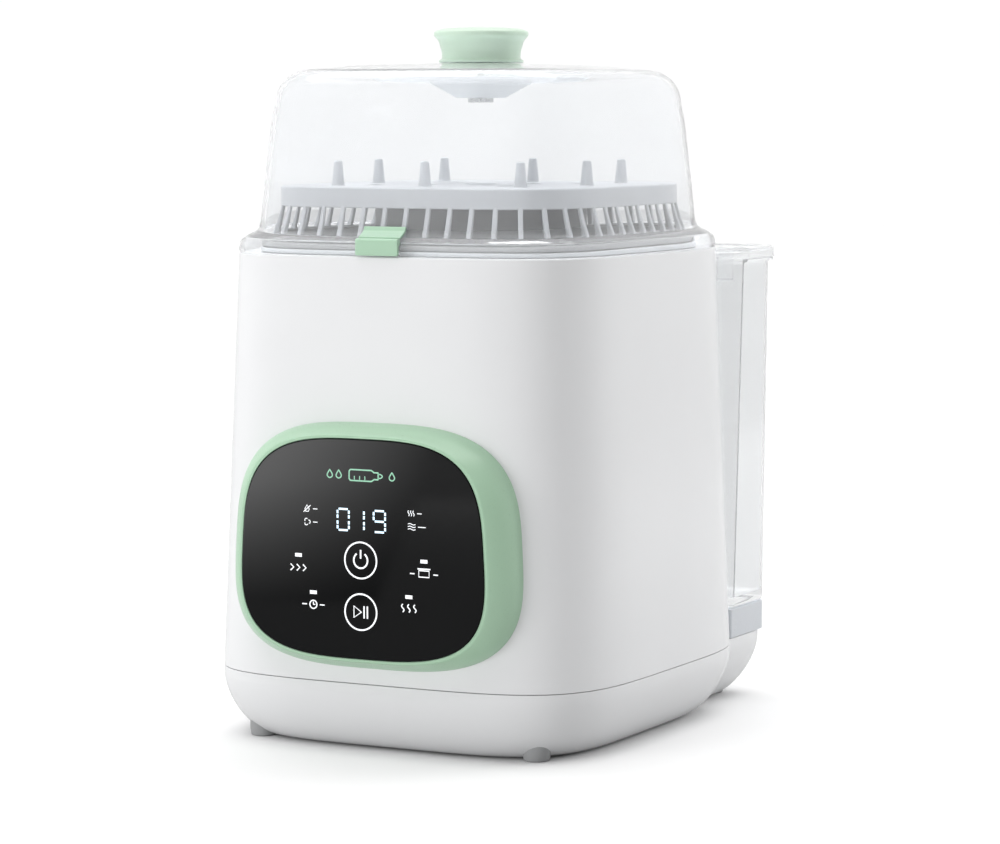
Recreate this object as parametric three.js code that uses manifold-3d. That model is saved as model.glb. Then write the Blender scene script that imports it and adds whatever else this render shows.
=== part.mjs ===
// Countertop bottle washer-steriliser. Millimetres, +Z up. The origin is on the floor under the
// middle of the outline. The front, with the control panel, faces -Y; the tanks are at the back.
import * as THREE from 'three';
import { mergeVertices } from 'three/addons/utils/BufferGeometryUtils.js';
import Module from 'manifold-3d';

const wasm = await Module();
wasm.setup();

// ---- Driving dimensions -------------------------------------------------------------------
const GAP = 0.3;               // clearance between pieces that touch
const PAST = 1;                // how far a cutter runs past the face that it opens
const Y_SHIFT = -18.5;         // body centre line to the middle of the whole depth
const SIDES = 32;              // facets round a squircle

// Casing: squircle plan, wider at the base seam than at the top seam
const BASE_HALF = 132;         // half width at the base seam
const TOP_HALF = 122.9;        // half width at the top seam
const DEPTH_EXTRA = 7.5;       // half depth minus half width
const CASE_EXP = 4.4;          // squircle exponent
const WALL = 3;
const FLOOR_Z = 1.3;           // underside of the base
const SEAM_Z = 42;             // base to main shell
const TOP_Z = 293.2;           // top of the main shell
const BACK_Y = 122;            // flat back of the casing
const BOTTOM_IN = 22;          // bottom rounding, inwards
const BOTTOM_UP = 36;          // bottom rounding, upwards
const BOTTOM_EXP = 1.6;        // its superellipse exponent: fuller than a chamfer, flatter than an arc

// Lid
const LID_Z = 293.5;           // lower edge of the lid
const DOME_WALL = 2.4;
const DOME_TOP_Z = 407;
const KNOB_Z = 407.3;
const KNOB_TOP_Z = 429;
const LATCH_HINGE = [-130.4, 302];   // y and z of the latch pin
const LATCH_HALF = 14;
const LATCH_R = 2;                   // its knuckle

// Feet and the screws that hold the base, as [x, y]
const FOOT_R = 8.3;
const FEET = {
  front_left: [-93, -108], front_right: [93, -108], rear_left: [-86, 158], rear_right: [86, 158],
};
const SCREWS = [[-80, -85], [80, -85], [-80, 85], [80, 85]];
const SCREW_R = 1.5;
const SCREW_HEAD_R = 4;
const SCREW_POCKET = { r: 4.6, z: FLOOR_Z + 3 };   // recess for the head, in a boss inside the base

// Wash tub and racks
const TUB_HALF = 108;
const TUB_WALL = 2.5;
const TUB_FLANGE = 3.8;        // flange of the tub on the casing top
const DRAIN_R = 6;
const AIR_HOLE = { x: 30, y: 84, r: 5.5 };
const TUB_FLOOR_Z = 170;
const TUB_RIM_Z = 296;
const SUMP_R = 42;
const RACK_Z = 199;            // bottle rack grid
const RACK_RING = [88, 96];    // its outer ring, inner and outer half width
const RACK_BAR = 4;            // square section of its bars
const BAND_HALF = 101.5;       // upper rack band
const BAND_Z = [320.7, 333];
const SLAT_COUNT = 52;
const RACK_RIM_HALF = 107.4;   // foot ring of the upper rack
const RACK_RIM_Z = 299.9;
const PEGS = [[-62, -68], [0, -72], [62, -68], [-72, 0], [72, 0], [-62, 68], [0, 72], [62, 68]];

// Control panel
const PANEL_Z = 123.5;         // height of its middle
const GLASS_Y = -151.5;        // front of the glass
const GLASS_T = 2.2;
const GLASS_HALF = [82, 64.5];
const RING_HALF = [96.5, 73.5];
const PANEL_EXP = 3.3;
const PANEL_TAPER = 0.045;     // how much wider the panel is at its foot

// Tanks
const TANK_Y = [125, 185];
const TANK_X = [1.5, 117];
const TANK_Z = [61, 284];
const TANK_WALL = 2.2;
const TANK_R = 15;
const DOCK_HALF = 115.5;
const SHELF_Y = 185.5;         // back of the base shelf
const LID_T = 7.5;             // tank lid height above the rim
const HINGE_X = 5.4;           // tank lid hinge, beside the middle plane
const HINGE_Z = TANK_Z[1] + 3.5;
const KNUCKLE_R = 3.1;
const PIN_R = 1.8;
const CLIP_X = [104, 115];     // snap clip of a tank
const CLIP_T = 1.8;
const VALVE = [60, 150];       // middle of a tank's outlet

// Mains inlet in the back of the shelf
const INLET_X = 62;
const INLET_Z = 27;
const INLET = [24, 17];        // socket opening, width and height
const INLET_WALL = 2.6;

// Air filter drawer in the left side
const DRAWER = { y: [-18, 52], z: [72, 118] };

// Inner parts that turn, as [x, y] of their axes
const PUMP = [0, -30];
const FAN = [-50, 66];
const CHASSIS_Z = [44, 47];
const DECK_Z = CHASSIS_Z[1] + 0.4;   // what stands on the chassis starts here

// ---- Materials -----------------------------------------------------------------------------
const paint = (color, roughness, metalness = 0, opacity = 1) => () => new THREE.MeshStandardMaterial({
  color, roughness, metalness, opacity, transparent: opacity < 1,
});
const white = paint(0xf1f2f3, 0.32);
const green = paint(0xa9cfae, 0.35);
const clear = paint(0xeaf0f2, 0.08, 0, 0.3);
const frosted = paint(0xd9dde0, 0.45);
const grey = paint(0x9b9fa3, 0.5);
const black = paint(0x0b0c0d, 0.08);
const dark = paint(0x2b2d30, 0.55);
const rubber = paint(0xc9cbcc, 0.8);
const steel = paint(0xbfc2c5, 0.3, 1);
const board = paint(0x1f5a3a, 0.5);
const foam = paint(0xe8e8e2, 0.95);

// ---- Solids ----------------------------------------------------------------------------------
function solid(geometry) {
  const bare = geometry.clone();
  bare.deleteAttribute('normal');
  bare.deleteAttribute('uv');
  const merged = mergeVertices(bare, 1e-4);
  const points = merged.attributes.position.array;
  const faces = merged.index.array;
  const kept = [];
  let volume = 0;
  for (let i = 0; i < faces.length; i += 3) {
    const [a, b, c] = [faces[i], faces[i + 1], faces[i + 2]];
    if (a === b || b === c || c === a) continue;
    kept.push(a, b, c);
    const [p, q, r] = [a, b, c].map((k) => new THREE.Vector3().fromArray(points, 3 * k));
    volume += p.dot(q.cross(r));
  }
  if (volume < 0) kept.reverse();
  return new wasm.Manifold(new wasm.Mesh({
    numProp: 3, vertProperties: new Float32Array(points), triVerts: new Uint32Array(kept),
  }));
}

function moved(geometry, x, y, z) {
  return solid(geometry.translate(x, y, z));
}

const box = (x0, x1, y0, y1, z0, z1) => moved(
  new THREE.BoxGeometry(x1 - x0, y1 - y0, z1 - z0), (x0 + x1) / 2, (y0 + y1) / 2, (z0 + z1) / 2);

// Upright cylinder or cone
const post = (x, y, z0, z1, r0, r1 = r0, sides = 24) => moved(
  new THREE.CylinderGeometry(r1, r0, z1 - z0, sides).rotateX(Math.PI / 2), x, y, (z0 + z1) / 2);

// Cylinder that lies along X or along Y
const rodX = (x0, x1, y, z, r, sides = 16) => moved(
  new THREE.CylinderGeometry(r, r, x1 - x0, sides).rotateZ(Math.PI / 2), (x0 + x1) / 2, y, z);
const rodY = (x, y0, y1, z, r, sides = 16) => moved(
  new THREE.CylinderGeometry(r, r, y1 - y0, sides), x, (y0 + y1) / 2, z);

// Turned piece: a closed profile of [radius, z] about an upright axis
const lathe = (profile, sides) => new THREE.LatheGeometry(
  profile.map((p) => new THREE.Vector2(...p)), sides);
const turned = (profile, x = 0, y = 0, sides = 24) => moved(
  lathe(profile, sides).rotateX(Math.PI / 2), x, y, 0);

// Quarter arc from angle a0 to a1 as profile points
function arc(cx, cz, rx, rz, a0, a1, steps) {
  return Array.from({ length: steps + 1 }, (_, i) => {
    const a = a0 + (a1 - a0) * i / steps;
    return [cx + rx * Math.cos(a), cz + rz * Math.sin(a)];
  });
}

// Superellipse coordinate of a cosine or sine; values that are zero but for rounding stay zero
const bend = (t, exponent) => (Math.abs(t) < 1e-6 ? 0 : Math.sign(t) * Math.abs(t) ** (2 / exponent));

// Squircle body: the profile is [half width, z] and the plan is a superellipse. The extra depth
// fades out towards the axis, inside FULL_DEPTH_FROM
const FULL_DEPTH_FROM = 60;
function squircle(profile, exponent = CASE_EXP, extra = DEPTH_EXTRA, sides = SIDES) {
  const geometry = lathe(profile, sides).rotateX(Math.PI / 2);
  const place = geometry.attributes.position;
  for (let i = 0; i < place.count; i += 1) {
    const [x, y] = [place.getX(i), place.getY(i)];
    const r = Math.hypot(x, y);
    if (r < 1e-6) continue;
    const depth = r + extra * Math.min(1, r / FULL_DEPTH_FROM);
    place.setXY(i, r * bend(x / r, exponent), depth * bend(y / r, exponent));
  }
  return solid(geometry);
}

// Panel body: fractions of the half sizes at each y, widest a little below the middle
function panel(rows, sides = 36) {
  const profile = [[0, rows[0][0]], ...rows.map(([y]) => [1, y]), [0, rows.at(-1)[0]]];
  const geometry = lathe(profile, sides);
  const place = geometry.attributes.position;
  const halves = new Map(rows.map(([y, w, h]) => [y.toFixed(3), [w, h]]));
  for (let i = 0; i < place.count; i += 1) {
    const y = place.getY(i);
    const r = Math.hypot(place.getX(i), place.getZ(i));
    const [w, h] = halves.get(y.toFixed(3));
    if (r < 1e-6) {
      place.setXYZ(i, 0, y, PANEL_Z);
      continue;
    }
    const up = bend(place.getZ(i) / r, PANEL_EXP);
    const across = bend(place.getX(i) / r, PANEL_EXP) * (1 - PANEL_TAPER * up - 0.02);
    place.setXYZ(i, r * w * across, y, PANEL_Z + r * h * up);
  }
  return solid(geometry);
}

// Upright block with rounded plan corners
function block(x0, x1, y0, y1, z0, z1, r, round = 5) {
  const [w, d] = [x1 - x0, y1 - y0];
  const shape = new THREE.Shape();
  shape.moveTo(r, 0);
  shape.lineTo(w - r, 0);
  shape.absarc(w - r, r, r, -Math.PI / 2, 0);
  shape.lineTo(w, d - r);
  shape.absarc(w - r, d - r, r, 0, Math.PI / 2);
  shape.lineTo(r, d);
  shape.absarc(r, d - r, r, Math.PI / 2, Math.PI);
  shape.lineTo(0, r);
  shape.absarc(r, r, r, Math.PI, 1.5 * Math.PI);
  return moved(new THREE.ExtrudeGeometry(shape, {
    depth: z1 - z0, bevelEnabled: false, curveSegments: round,
  }), x0, y0, z0);
}

// Round tube along a smooth route
function hose(points, radius, steps = 24) {
  const route = new THREE.CatmullRomCurve3(points.map((p) => new THREE.Vector3(...p)));
  const ring = new THREE.Shape().absarc(0, 0, radius, 0, 2 * Math.PI);
  return solid(new THREE.ExtrudeGeometry(ring, { steps, extrudePath: route, curveSegments: 5 }));
}

const union = (...parts) => parts.reduce((sum, part) => sum.add(part));

// ---- Scene graph -----------------------------------------------------------------------------
const washer = new THREE.Group();
washer.position.y = Y_SHIFT;

function piece(name, shape, material) {
  const { numProp, vertProperties, triVerts } = shape.getMesh();
  const positions = new Float32Array(3 * vertProperties.length / numProp);
  for (let i = 0; i < positions.length / 3; i += 1) {
    positions.set(vertProperties.subarray(i * numProp, i * numProp + 3), 3 * i);
  }
  const geometry = new THREE.BufferGeometry();
  geometry.setAttribute('position', new THREE.BufferAttribute(positions, 3));
  geometry.setIndex(new THREE.BufferAttribute(new Uint32Array(triVerts), 1));
  geometry.computeVertexNormals();
  const mesh = new THREE.Mesh(geometry, material());
  mesh.name = name;
  washer.add(mesh);
}

// ---- Casing ------------------------------------------------------------------------------------
const caseHalf = (z) => BASE_HALF + (TOP_HALF - BASE_HALF) * (z - SEAM_Z) / (TOP_Z - SEAM_Z);

const caseBody = (grow, z0, z1) => squircle([
  [0, z0], [caseHalf(z0) + grow, z0], [caseHalf(z1) + grow, z1], [0, z1]]);

// Everything in front of the plane y
const ahead = (y) => box(-200, 200, -300, y, -1, 500);

// Half widths of the base, from its flat underside round to the seam
function baseProfile(rim, low, steps = 5) {
  const round = Array.from({ length: steps + 1 }, (_, i) => {
    const a = Math.PI / 2 * i / steps;
    return [rim - BOTTOM_IN * (1 - bend(Math.sin(a), BOTTOM_EXP)),
      low + BOTTOM_UP * (1 - bend(Math.cos(a), BOTTOM_EXP))];
  });
  return [[0, low], ...round, [rim, SEAM_Z - 0.2], [0, SEAM_Z - 0.2]];
}

const bowl = (grow) => squircle(baseProfile(BASE_HALF + grow, FLOOR_Z - grow));

// Rear shelf of the base: a squircle-edged block that rounds in towards the floor
function shelf(grow) {
  const half = 105;
  const slab = squircle(baseProfile(DOCK_HALF + grow, FLOOR_Z - grow), 11, half - DOCK_HALF);
  return slab.translate([0, SHELF_Y - half, 0]);
}

function baseShell() {
  const outer = bowl(0).add(shelf(0));
  const passage = box(-100, 100, 60, 150, FLOOR_Z + WALL + 6, SEAM_Z);
  const inner = bowl(-WALL).add(shelf(-WALL)).add(passage).translate([0, 0, GAP]);
  const mouth = box(-100, 100, -100, 110, SEAM_Z - 4, SEAM_Z + 4);
  const [w, h] = INLET.map((size) => size / 2 + INLET_WALL + 0.4);
  const socket = box(INLET_X - w, INLET_X + w, 170, 200, INLET_Z - h, INLET_Z + h);
  let shell = outer.subtract(inner).subtract(mouth).subtract(socket);
  const { r, z } = SCREW_POCKET;
  for (const [x, y] of SCREWS) {
    shell = shell.add(post(x, y, FLOOR_Z, z + WALL, 7.5, 7.5, 16)).subtract(post(x, y, 0, z, r, r, 16))
      .subtract(post(x, y, 0, 12, 2.2, 2.2, 12));
  }
  return shell;
}

function mainShell() {
  const z0 = SEAM_Z + 0.2;
  const outer = caseBody(0, z0, TOP_Z).intersect(ahead(BACK_Y));
  const inner = caseBody(-WALL, z0 - PAST, TOP_Z - WALL).intersect(ahead(BACK_Y - WALL));
  const mouthHalf = TUB_HALF + 1;
  const tubMouth = squircle([[0, 280], [mouthHalf, 280], [mouthHalf, 300], [0, 300]]);
  const panelMouth = panel([[-160, 74, 56], [-100, 74, 56]]);
  const drawerMouth = box(-200, -110, ...DRAWER.y, ...DRAWER.z);
  return outer.subtract(inner).subtract(tubMouth).subtract(panelMouth).subtract(drawerMouth);
}

function foot(x, y) {
  const stub = post(x, y, 0, 12, FOOT_R);
  return stub.subtract(bowl(GAP).add(shelf(GAP)));
}

function chassis() {
  const inset = WALL + 2;
  let plate = caseBody(-inset, ...CHASSIS_Z).intersect(ahead(BACK_Y - inset));
  for (const [x, y] of SCREWS) {
    plate = plate.add(post(x, y, 8, 45, 5, 5, 16)).subtract(post(x, y, 7, 30, 1.8, 1.8, 12));
  }
  return plate;
}

const baseScrew = (x, y) => union(
  post(x, y, SCREW_POCKET.z - 2.4, SCREW_POCKET.z - GAP, SCREW_HEAD_R, SCREW_HEAD_R, 16),
  post(x, y, SCREW_POCKET.z - 1, 24, SCREW_R, SCREW_R, 12));

// ---- Control panel --------------------------------------------------------------------------
// Ring that flares back from the glass to the curved front of the casing
function bezelRing() {
  const [w, h] = GLASS_HALF;
  const flare = panel([[GLASS_Y + 1, w + 1.6, h + 1.4], [-145, 89, 68.5], [-138, 93.5, 71.6],
    [-110, ...RING_HALF]]);
  const hole = panel([[-170, w - 2, h - 2], [-90, w - 2, h - 2]]);
  const seat = panel([[-170, w + GAP, h + GAP], [GLASS_Y + GLASS_T + GAP, w + GAP, h + GAP]]);
  return flare.subtract(hole).subtract(seat).subtract(caseBody(GAP, 20, 260));
}

const panelGlass = () => panel([[GLASS_Y, ...GLASS_HALF], [GLASS_Y + GLASS_T, ...GLASS_HALF]]);

const controlBoard = () => union(box(-62, 62, -146.2, -144.6, PANEL_Z - 44, PANEL_Z + 44),
  box(-20, 20, -144.8, -139, PANEL_Z - 30, PANEL_Z - 14));

const displayModule = () => box(-24, 24, -148.9, -146.5, PANEL_Z + 8, PANEL_Z + 26);

// ---- Wash tub and what is under it -------------------------------------------------------------
function washTub() {
  const t = TUB_WALL;
  const flange = TUB_HALF + TUB_FLANGE;
  const outer = squircle([[0, TUB_FLOOR_Z], [TUB_HALF - 14, TUB_FLOOR_Z],
    [TUB_HALF - 3, TUB_FLOOR_Z + 12], [TUB_HALF, TOP_Z + GAP], [flange, TOP_Z + GAP],
    [flange, TUB_RIM_Z], [0, TUB_RIM_Z]]);
  const inner = squircle([[0, TUB_FLOOR_Z + t], [TUB_HALF - 16, TUB_FLOOR_Z + t],
    [TUB_HALF - 3 - t, TUB_FLOOR_Z + 13], [TUB_HALF - t, TUB_RIM_Z + PAST], [0, TUB_RIM_Z + PAST]]);
  const sump = post(0, 0, 140, TUB_FLOOR_Z + PAST, SUMP_R, SUMP_R, 32);
  const well = post(0, 0, 143, TUB_FLOOR_Z + 5, SUMP_R - t, SUMP_R - t, 32);
  const drain = post(0, 0, 130, 150, DRAIN_R, DRAIN_R, 16);
  const airHole = post(AIR_HOLE.x, AIR_HOLE.y, 165, 180, AIR_HOLE.r, AIR_HOLE.r, 12);
  return outer.add(sump).subtract(inner).subtract(well).subtract(drain).subtract(airHole);
}

const ring = (inner, outer, z0, z1) => [[inner, z0], [outer, z0], [outer, z1], [inner, z1], [inner, z0]];

const tubGasket = () => squircle(
  ring(TUB_HALF - 2, TUB_HALF + TUB_FLANGE - 0.2, TUB_RIM_Z + GAP, TUB_RIM_Z + 3));

const heaterPlate = () => turned(ring(48, 70, 164, TUB_FLOOR_Z - GAP));

const drainFilter = () => turned([[0, 143.6], [30, 143.6], [36, 168], [36, 172], [34, 172], [28, 146],
  [0, 146]], 0, 0, 24).subtract(post(0, 0, 140, 150, 9, 9, 16));

const sprayHub = () => turned([[4, 146.5], [8, 146.5], [8, 178], [10, 178], [10, 181], [4, 181],
  [4, 146.5]], 0, 0, 16);

const SPRAY_Z = [181.5, 188];
function sprayArm() {
  const [z0, z1] = SPRAY_Z;
  let arm = post(0, 0, z0, z1, 15, 13, 24);
  for (const side of [1, -1]) {
    const beam = block(0, 88, -8, 8, z0 + 0.5, z1 - 1, 7.5);
    arm = arm.add(side > 0 ? beam : beam.rotate([0, 0, 180]));
    for (const r of [34, 52, 70]) arm = arm.subtract(post(side * r, 0, z0 + 2, z1 + 2, 1.4, 1.4, 6));
  }
  return arm.add(post(0, 0, z1 - 1, z1 + 3, 9, 7, 24));
}

function pumpBody() {
  const [x, y] = PUMP;
  const can = post(x, y, 84, 126, 32, 32, 28).subtract(post(x, y, 87, 123, 29, 29, 28));
  return can.subtract(post(x, y, 120, 130, 9, 9, 16)).add(
    rodX(x + 30, x + 48, y, 112, 7, 16)).subtract(rodX(x + 20, x + 50, y, 112, 5, 16));
}
const pumpMotor = () => union(post(...PUMP, DECK_Z, 80, 25, 25, 24), post(...PUMP, 79, 83.6, 12, 12, 16));
function pumpImpeller() {
  let rotor = post(...PUMP, 90, 94, 24, 24, 24).add(post(...PUMP, 93, 112, 6, 5, 16));
  for (let i = 0; i < 6; i += 1) {
    const vane = box(5, 23, -0.9, 0.9, 93, 106).rotate([0, 0, 60 * i + 12]);
    rotor = rotor.add(vane.translate([...PUMP, 0]));
  }
  return rotor;
}

const drainPump = () => union(post(62, -62, DECK_Z, 78, 20, 20, 24), post(62, -62, 77, 96, 24, 24, 24),
  rodX(82, 98, -62, 86, 6, 14));

function fanHousing() {
  const [x, y] = FAN;
  const outer = post(x, y, 64, 108, 44, 44, 28).add(box(x, x + 50, y + 18, y + 42, 72, 100));
  const inner = post(x, y, 66.5, 105.5, 41.5, 41.5, 28)
    .add(box(x, x + 60, y + 20.5, y + 39.5, 74.5, 97.5));
  const intake = post(x, y, 100, 112, 24, 24, 24);
  const shaftHole = post(x, y, 60, 70, 6, 6, 12);
  return outer.subtract(inner).subtract(intake).subtract(shaftHole);
}
const fanMotor = () => post(...FAN, DECK_Z, 63.4, 18, 18, 24);
function fanImpeller() {
  const [x, y] = FAN;
  let rotor = post(x, y, 70, 73, 37, 37, 24).add(post(x, y, 72, 90, 7, 6, 20));
  rotor = rotor.add(turned(ring(30, 37, 97, 99.5), x, y));
  for (let i = 0; i < 12; i += 1) {
    const vane = box(30.5, 36.5, -0.8, 0.8, 72, 98).rotate([0, 0, 30 * i]);
    rotor = rotor.add(vane.translate([x, y, 0]));
  }
  return rotor;
}
const DUCT_ROUTE = [[0.3, 96, 86], [16, 96, 90], [28, 94, 110], [30, 86, 136], [30, 84, 155],
  [30, 84, 169.2]];
function fanDuct() {
  const [x0, y0, z0] = DUCT_ROUTE[0];
  const [x1, y1, z1] = DUCT_ROUTE.at(-1);
  const bore = [[x0 - 4, y0, z0 - 1], ...DUCT_ROUTE.slice(1, -1), [x1, y1 - 0.4, z1 + 3]];
  return hose(DUCT_ROUTE, 8, 10).subtract(hose(bore, 6, 10));
}

// Circuit board on standoffs, with its transformer, capacitor, relay and heat sink
function powerBoard() {
  let made = union(box(34, 108, -10, 74, 52, 53.6), post(56, 14, 53, 78, 9, 9, 16),
    post(80, 14, 53, 72, 7, 7, 16), box(48, 74, 40, 64, 53, 74), box(84, 100, 34, 62, 53, 66));
  for (const [x, y] of [[40, -4], [102, -4], [102, 68]]) {
    made = made.add(post(x, y, DECK_Z, 52.5, 3, 3, 12));
  }
  return made;
}

const drainHose = () => hose([[62, -62, 96.6], [62, -62, 110], [50, -48, 130],
  [22, -16, 132], [2, -1, 132], [0, 0, 139.4]], 4.5, 12);

// ---- Power inlet ----------------------------------------------------------------------------
function powerInlet() {
  const [w, h] = INLET.map((size) => size / 2);
  const [wide, high] = [w + INLET_WALL, h + INLET_WALL];
  const body = box(INLET_X - wide, INLET_X + wide, 166, SHELF_Y - 1.5, INLET_Z - high, INLET_Z + high);
  const well = box(INLET_X - w, INLET_X + w, 171, 200, INLET_Z - h, INLET_Z + h);
  let inlet = body.subtract(well);
  for (const x of [INLET_X - 6, INLET_X + 6]) {
    inlet = inlet.add(box(x - 1, x + 1, 170, 179, INLET_Z - 3, INLET_Z + 3));
  }
  return inlet;
}

// ---- Air filter drawer ------------------------------------------------------------------------
function filterCover() {
  const [y0, y1] = [DRAWER.y[0] + GAP, DRAWER.y[1] - GAP];
  const [z0, z1] = [DRAWER.z[0] + GAP, DRAWER.z[1] - GAP];
  const skin = caseBody(0, 50, 150).subtract(caseBody(-WALL, 49, 151));
  let cover = skin.intersect(box(-200, -110, y0, y1, z0, z1));
  cover = cover.add(box(-128, -96, y0 + 3, y1 - 3, z0 + 2, z0 + 5));
  for (let i = 0; i < 6; i += 1) {
    const z = z0 + 13 + 4.6 * i;
    cover = cover.subtract(box(-140, -120, y0 + 12, y1 - 12, z, z + 2.2));
  }
  return cover;
}
const airFilter = () => box(-121, -99, DRAWER.y[0] + 8, DRAWER.y[1] - 8,
  DRAWER.z[0] + 5.8, DRAWER.z[1] - 6);

// ---- Tanks ------------------------------------------------------------------------------------
function tankDock() {
  const [y0, y1] = [BACK_Y + 0.4, SHELF_Y - 0.5];
  const top = TANK_Z[0] - GAP;
  const outer = block(-DOCK_HALF, DOCK_HALF, y0, y1, SEAM_Z + 0.2, top, TANK_R, 3);
  const half = DOCK_HALF - WALL;
  const under = block(-half, half, y0 + WALL, y1 - WALL, SEAM_Z - 2, top - WALL, TANK_R - WALL, 3);
  let dock = outer.subtract(under);
  for (const x of [-VALVE[0], VALVE[0]]) dock = dock.subtract(post(x, VALVE[1], 50, 70, 6, 6, 20));
  return dock;
}

const mirrored = (shape, side) => (side > 0 ? shape : shape.mirror([1, 0, 0]));

// side is 1 on the right and -1 on the left
function tank(side) {
  const [[x0, x1], [y0, y1], [z0, z1]] = [TANK_X, TANK_Y, TANK_Z];
  const t = TANK_WALL;
  const well = (bottom) => block(x0 + t, x1 - t, y0 + t, y1 - t, bottom, z1 + PAST, TANK_R - t, 3);
  const wall = block(x0, x1, y0, y1, z0, z1, TANK_R, 3).subtract(well(z0 + 5));
  const lip = block(x0, x1 + 2.5, y0, y1 + 2.5, z1 - 2.2, z1, TANK_R, 3).subtract(well(z1 - 14));
  let body = wall.add(lip);
  if (side > 0) body = body.subtract(post(...VALVE, 55, 70, 4, 4, 8));
  return mirrored(body, side);
}

function tankLid(side) {
  const [[x0, x1], [y0, y1]] = [TANK_X, TANK_Y];
  const z0 = TANK_Z[1] + GAP;
  const z1 = z0 + LID_T;
  const top = 2.2;
  let lid = block(x0 + 0.5, x1 + 3.5, y0 - 0.2, y1 + 3.5, z0, z1, TANK_R + 1, 4);
  lid = lid.subtract(block(x0 + 9, x1 + 1.3, y0 + top, y1 + 1, z0 - PAST, z1 - top, TANK_R - 1, 4));
  lid = lid.subtract(box(-5, HINGE_X, y0 - 5, y1 + 9, z0 - PAST, z1 + PAST));
  lid = lid.add(rodY(HINGE_X, y0 + 12, y1 - 12, HINGE_Z, KNUCKLE_R, 20));
  lid = lid.subtract(rodY(HINGE_X, y0 - 5, y1 + 9, HINGE_Z, PIN_R + GAP));
  return mirrored(lid, side);
}

const hingePin = (side) => rodY(side * HINGE_X, TANK_Y[0] + 4, TANK_Y[1] - 3, HINGE_Z, PIN_R);

function tankClip(side) {
  const [x0, x1] = CLIP_X;
  const face = TANK_Y[0];
  const tongue = box(x0, x1, face - CLIP_T - 0.6, face - 0.6, 271, 290);
  const root = box(x0, x1, face - CLIP_T - 0.6, face, 270, 272.2);
  return mirrored(union(tongue, root), side);
}

const tankValve = () => union(post(...VALVE, 52, 54, 3.4, 3.4, 16), post(...VALVE, 52, 67, 2.6, 2.6, 16),
  post(...VALVE, 66.4, 69.4, 7.5, 6.5, 20));

// ---- Racks ------------------------------------------------------------------------------------
function bottleRack() {
  const [z0, z1] = [RACK_Z, RACK_Z + 5];
  const bar = RACK_BAR / 2;
  const [barZ0, barZ1] = [z0 + 0.5, z0 + 0.5 + RACK_BAR];
  let rack = squircle(ring(...RACK_RING, z0, z1), CASE_EXP, DEPTH_EXTRA, 28);
  for (const y of [-62, -20, 20, 62]) rack = rack.add(box(-92, 92, y - bar, y + bar, barZ0, barZ1));
  for (const x of [-58, 0, 58]) {
    rack = rack.add(box(x - bar, x + bar, -98, 98, barZ0, barZ1));
    for (const y of [-62, 62]) rack = rack.add(post(x, y, z0 + 1, z0 + 58, 5, 3.4, 10));
  }
  for (const x of [-58, 58]) {
    for (const y of [-62, 62]) rack = rack.add(post(x, y, TUB_FLOOR_Z + 4.2, z0 + 1, 3.4, 3.4, 8));
  }
  return rack;
}

// The upper rack stands on the tub gasket: foot ring, leaning slats, band and pierced deck
function upperRack() {
  const [z0, z1] = BAND_Z;
  const t = 2.4;
  let rack = squircle([[BAND_HALF - t, z0], [BAND_HALF, z0], [BAND_HALF, z1], [0, z1], [0, z1 - t],
    [BAND_HALF - t, z1 - t], [BAND_HALF - t, z0]].reverse());
  rack = rack.add(squircle(ring(RACK_RIM_HALF - 5, RACK_RIM_HALF, RACK_RIM_Z, RACK_RIM_Z + 2)));
  for (let i = 0; i < SLAT_COUNT; i += 1) {
    const [x, y, facing] = slatPlace((i + 0.5) / SLAT_COUNT);
    const slat = slatBar().rotate([0, 0, facing * 180 / Math.PI]);
    rack = rack.add(slat.translate([x, y, 0]));
  }
  for (let i = 0; i < 4; i += 1) {
    for (const r of [34, 66]) {
      const hole = box(-11, 11, r - 4, r + 4, z1 - 9, z1 + 3).rotate([0, 0, 90 * i + 45]);
      rack = rack.subtract(hole);
    }
  }
  for (const [x, y] of PEGS) rack = rack.add(post(x, y, z1 - 1, z1 + 15, 3.6, 2.4, 8));
  return rack;
}

// Place and outward direction of a point a fraction of the way round the band
function slatPlace(fraction) {
  const [a, b] = [BAND_HALF, BAND_HALF + DEPTH_EXTRA];
  const steps = 720;
  const walk = [[a, 0, 0]];
  let length = 0;
  for (let i = 1; i <= steps; i += 1) {
    const t = 2 * Math.PI * i / steps;
    const [x, y] = [a * bend(Math.cos(t), CASE_EXP), b * bend(Math.sin(t), CASE_EXP)];
    length += Math.hypot(x - walk.at(-1)[0], y - walk.at(-1)[1]);
    walk.push([x, y, length]);
  }
  const k = walk.findIndex((p) => p[2] >= fraction * length);
  const [from, to] = [walk[k - 1], walk[k]];
  const facing = Math.atan2(-(to[0] - from[0]), to[1] - from[1]);
  return [to[0], to[1], facing];
}

// One slat, leaning outwards along +X from the band to the foot ring
function slatBar() {
  const lean = RACK_RIM_HALF - BAND_HALF;
  const [high, low] = [BAND_Z[0] + 3, RACK_RIM_Z + 1];
  const corners = [[-2.2, high], [-0.4, high], [lean - 0.6, low], [lean - 4.4, low]];
  const shape = new THREE.Shape(corners.map((p) => new THREE.Vector2(...p)));
  const bar = new THREE.ExtrudeGeometry(shape, { depth: 3, bevelEnabled: false });
  return moved(bar.rotateX(Math.PI / 2), 0, 1.5, 0);
}

const rackCore = () => turned([[0, 317], [63, 317], [63, 303], [65, 303], [65, BAND_Z[1] - 2.7],
  [0, BAND_Z[1] - 2.7]], 0, 0, 32);

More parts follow.
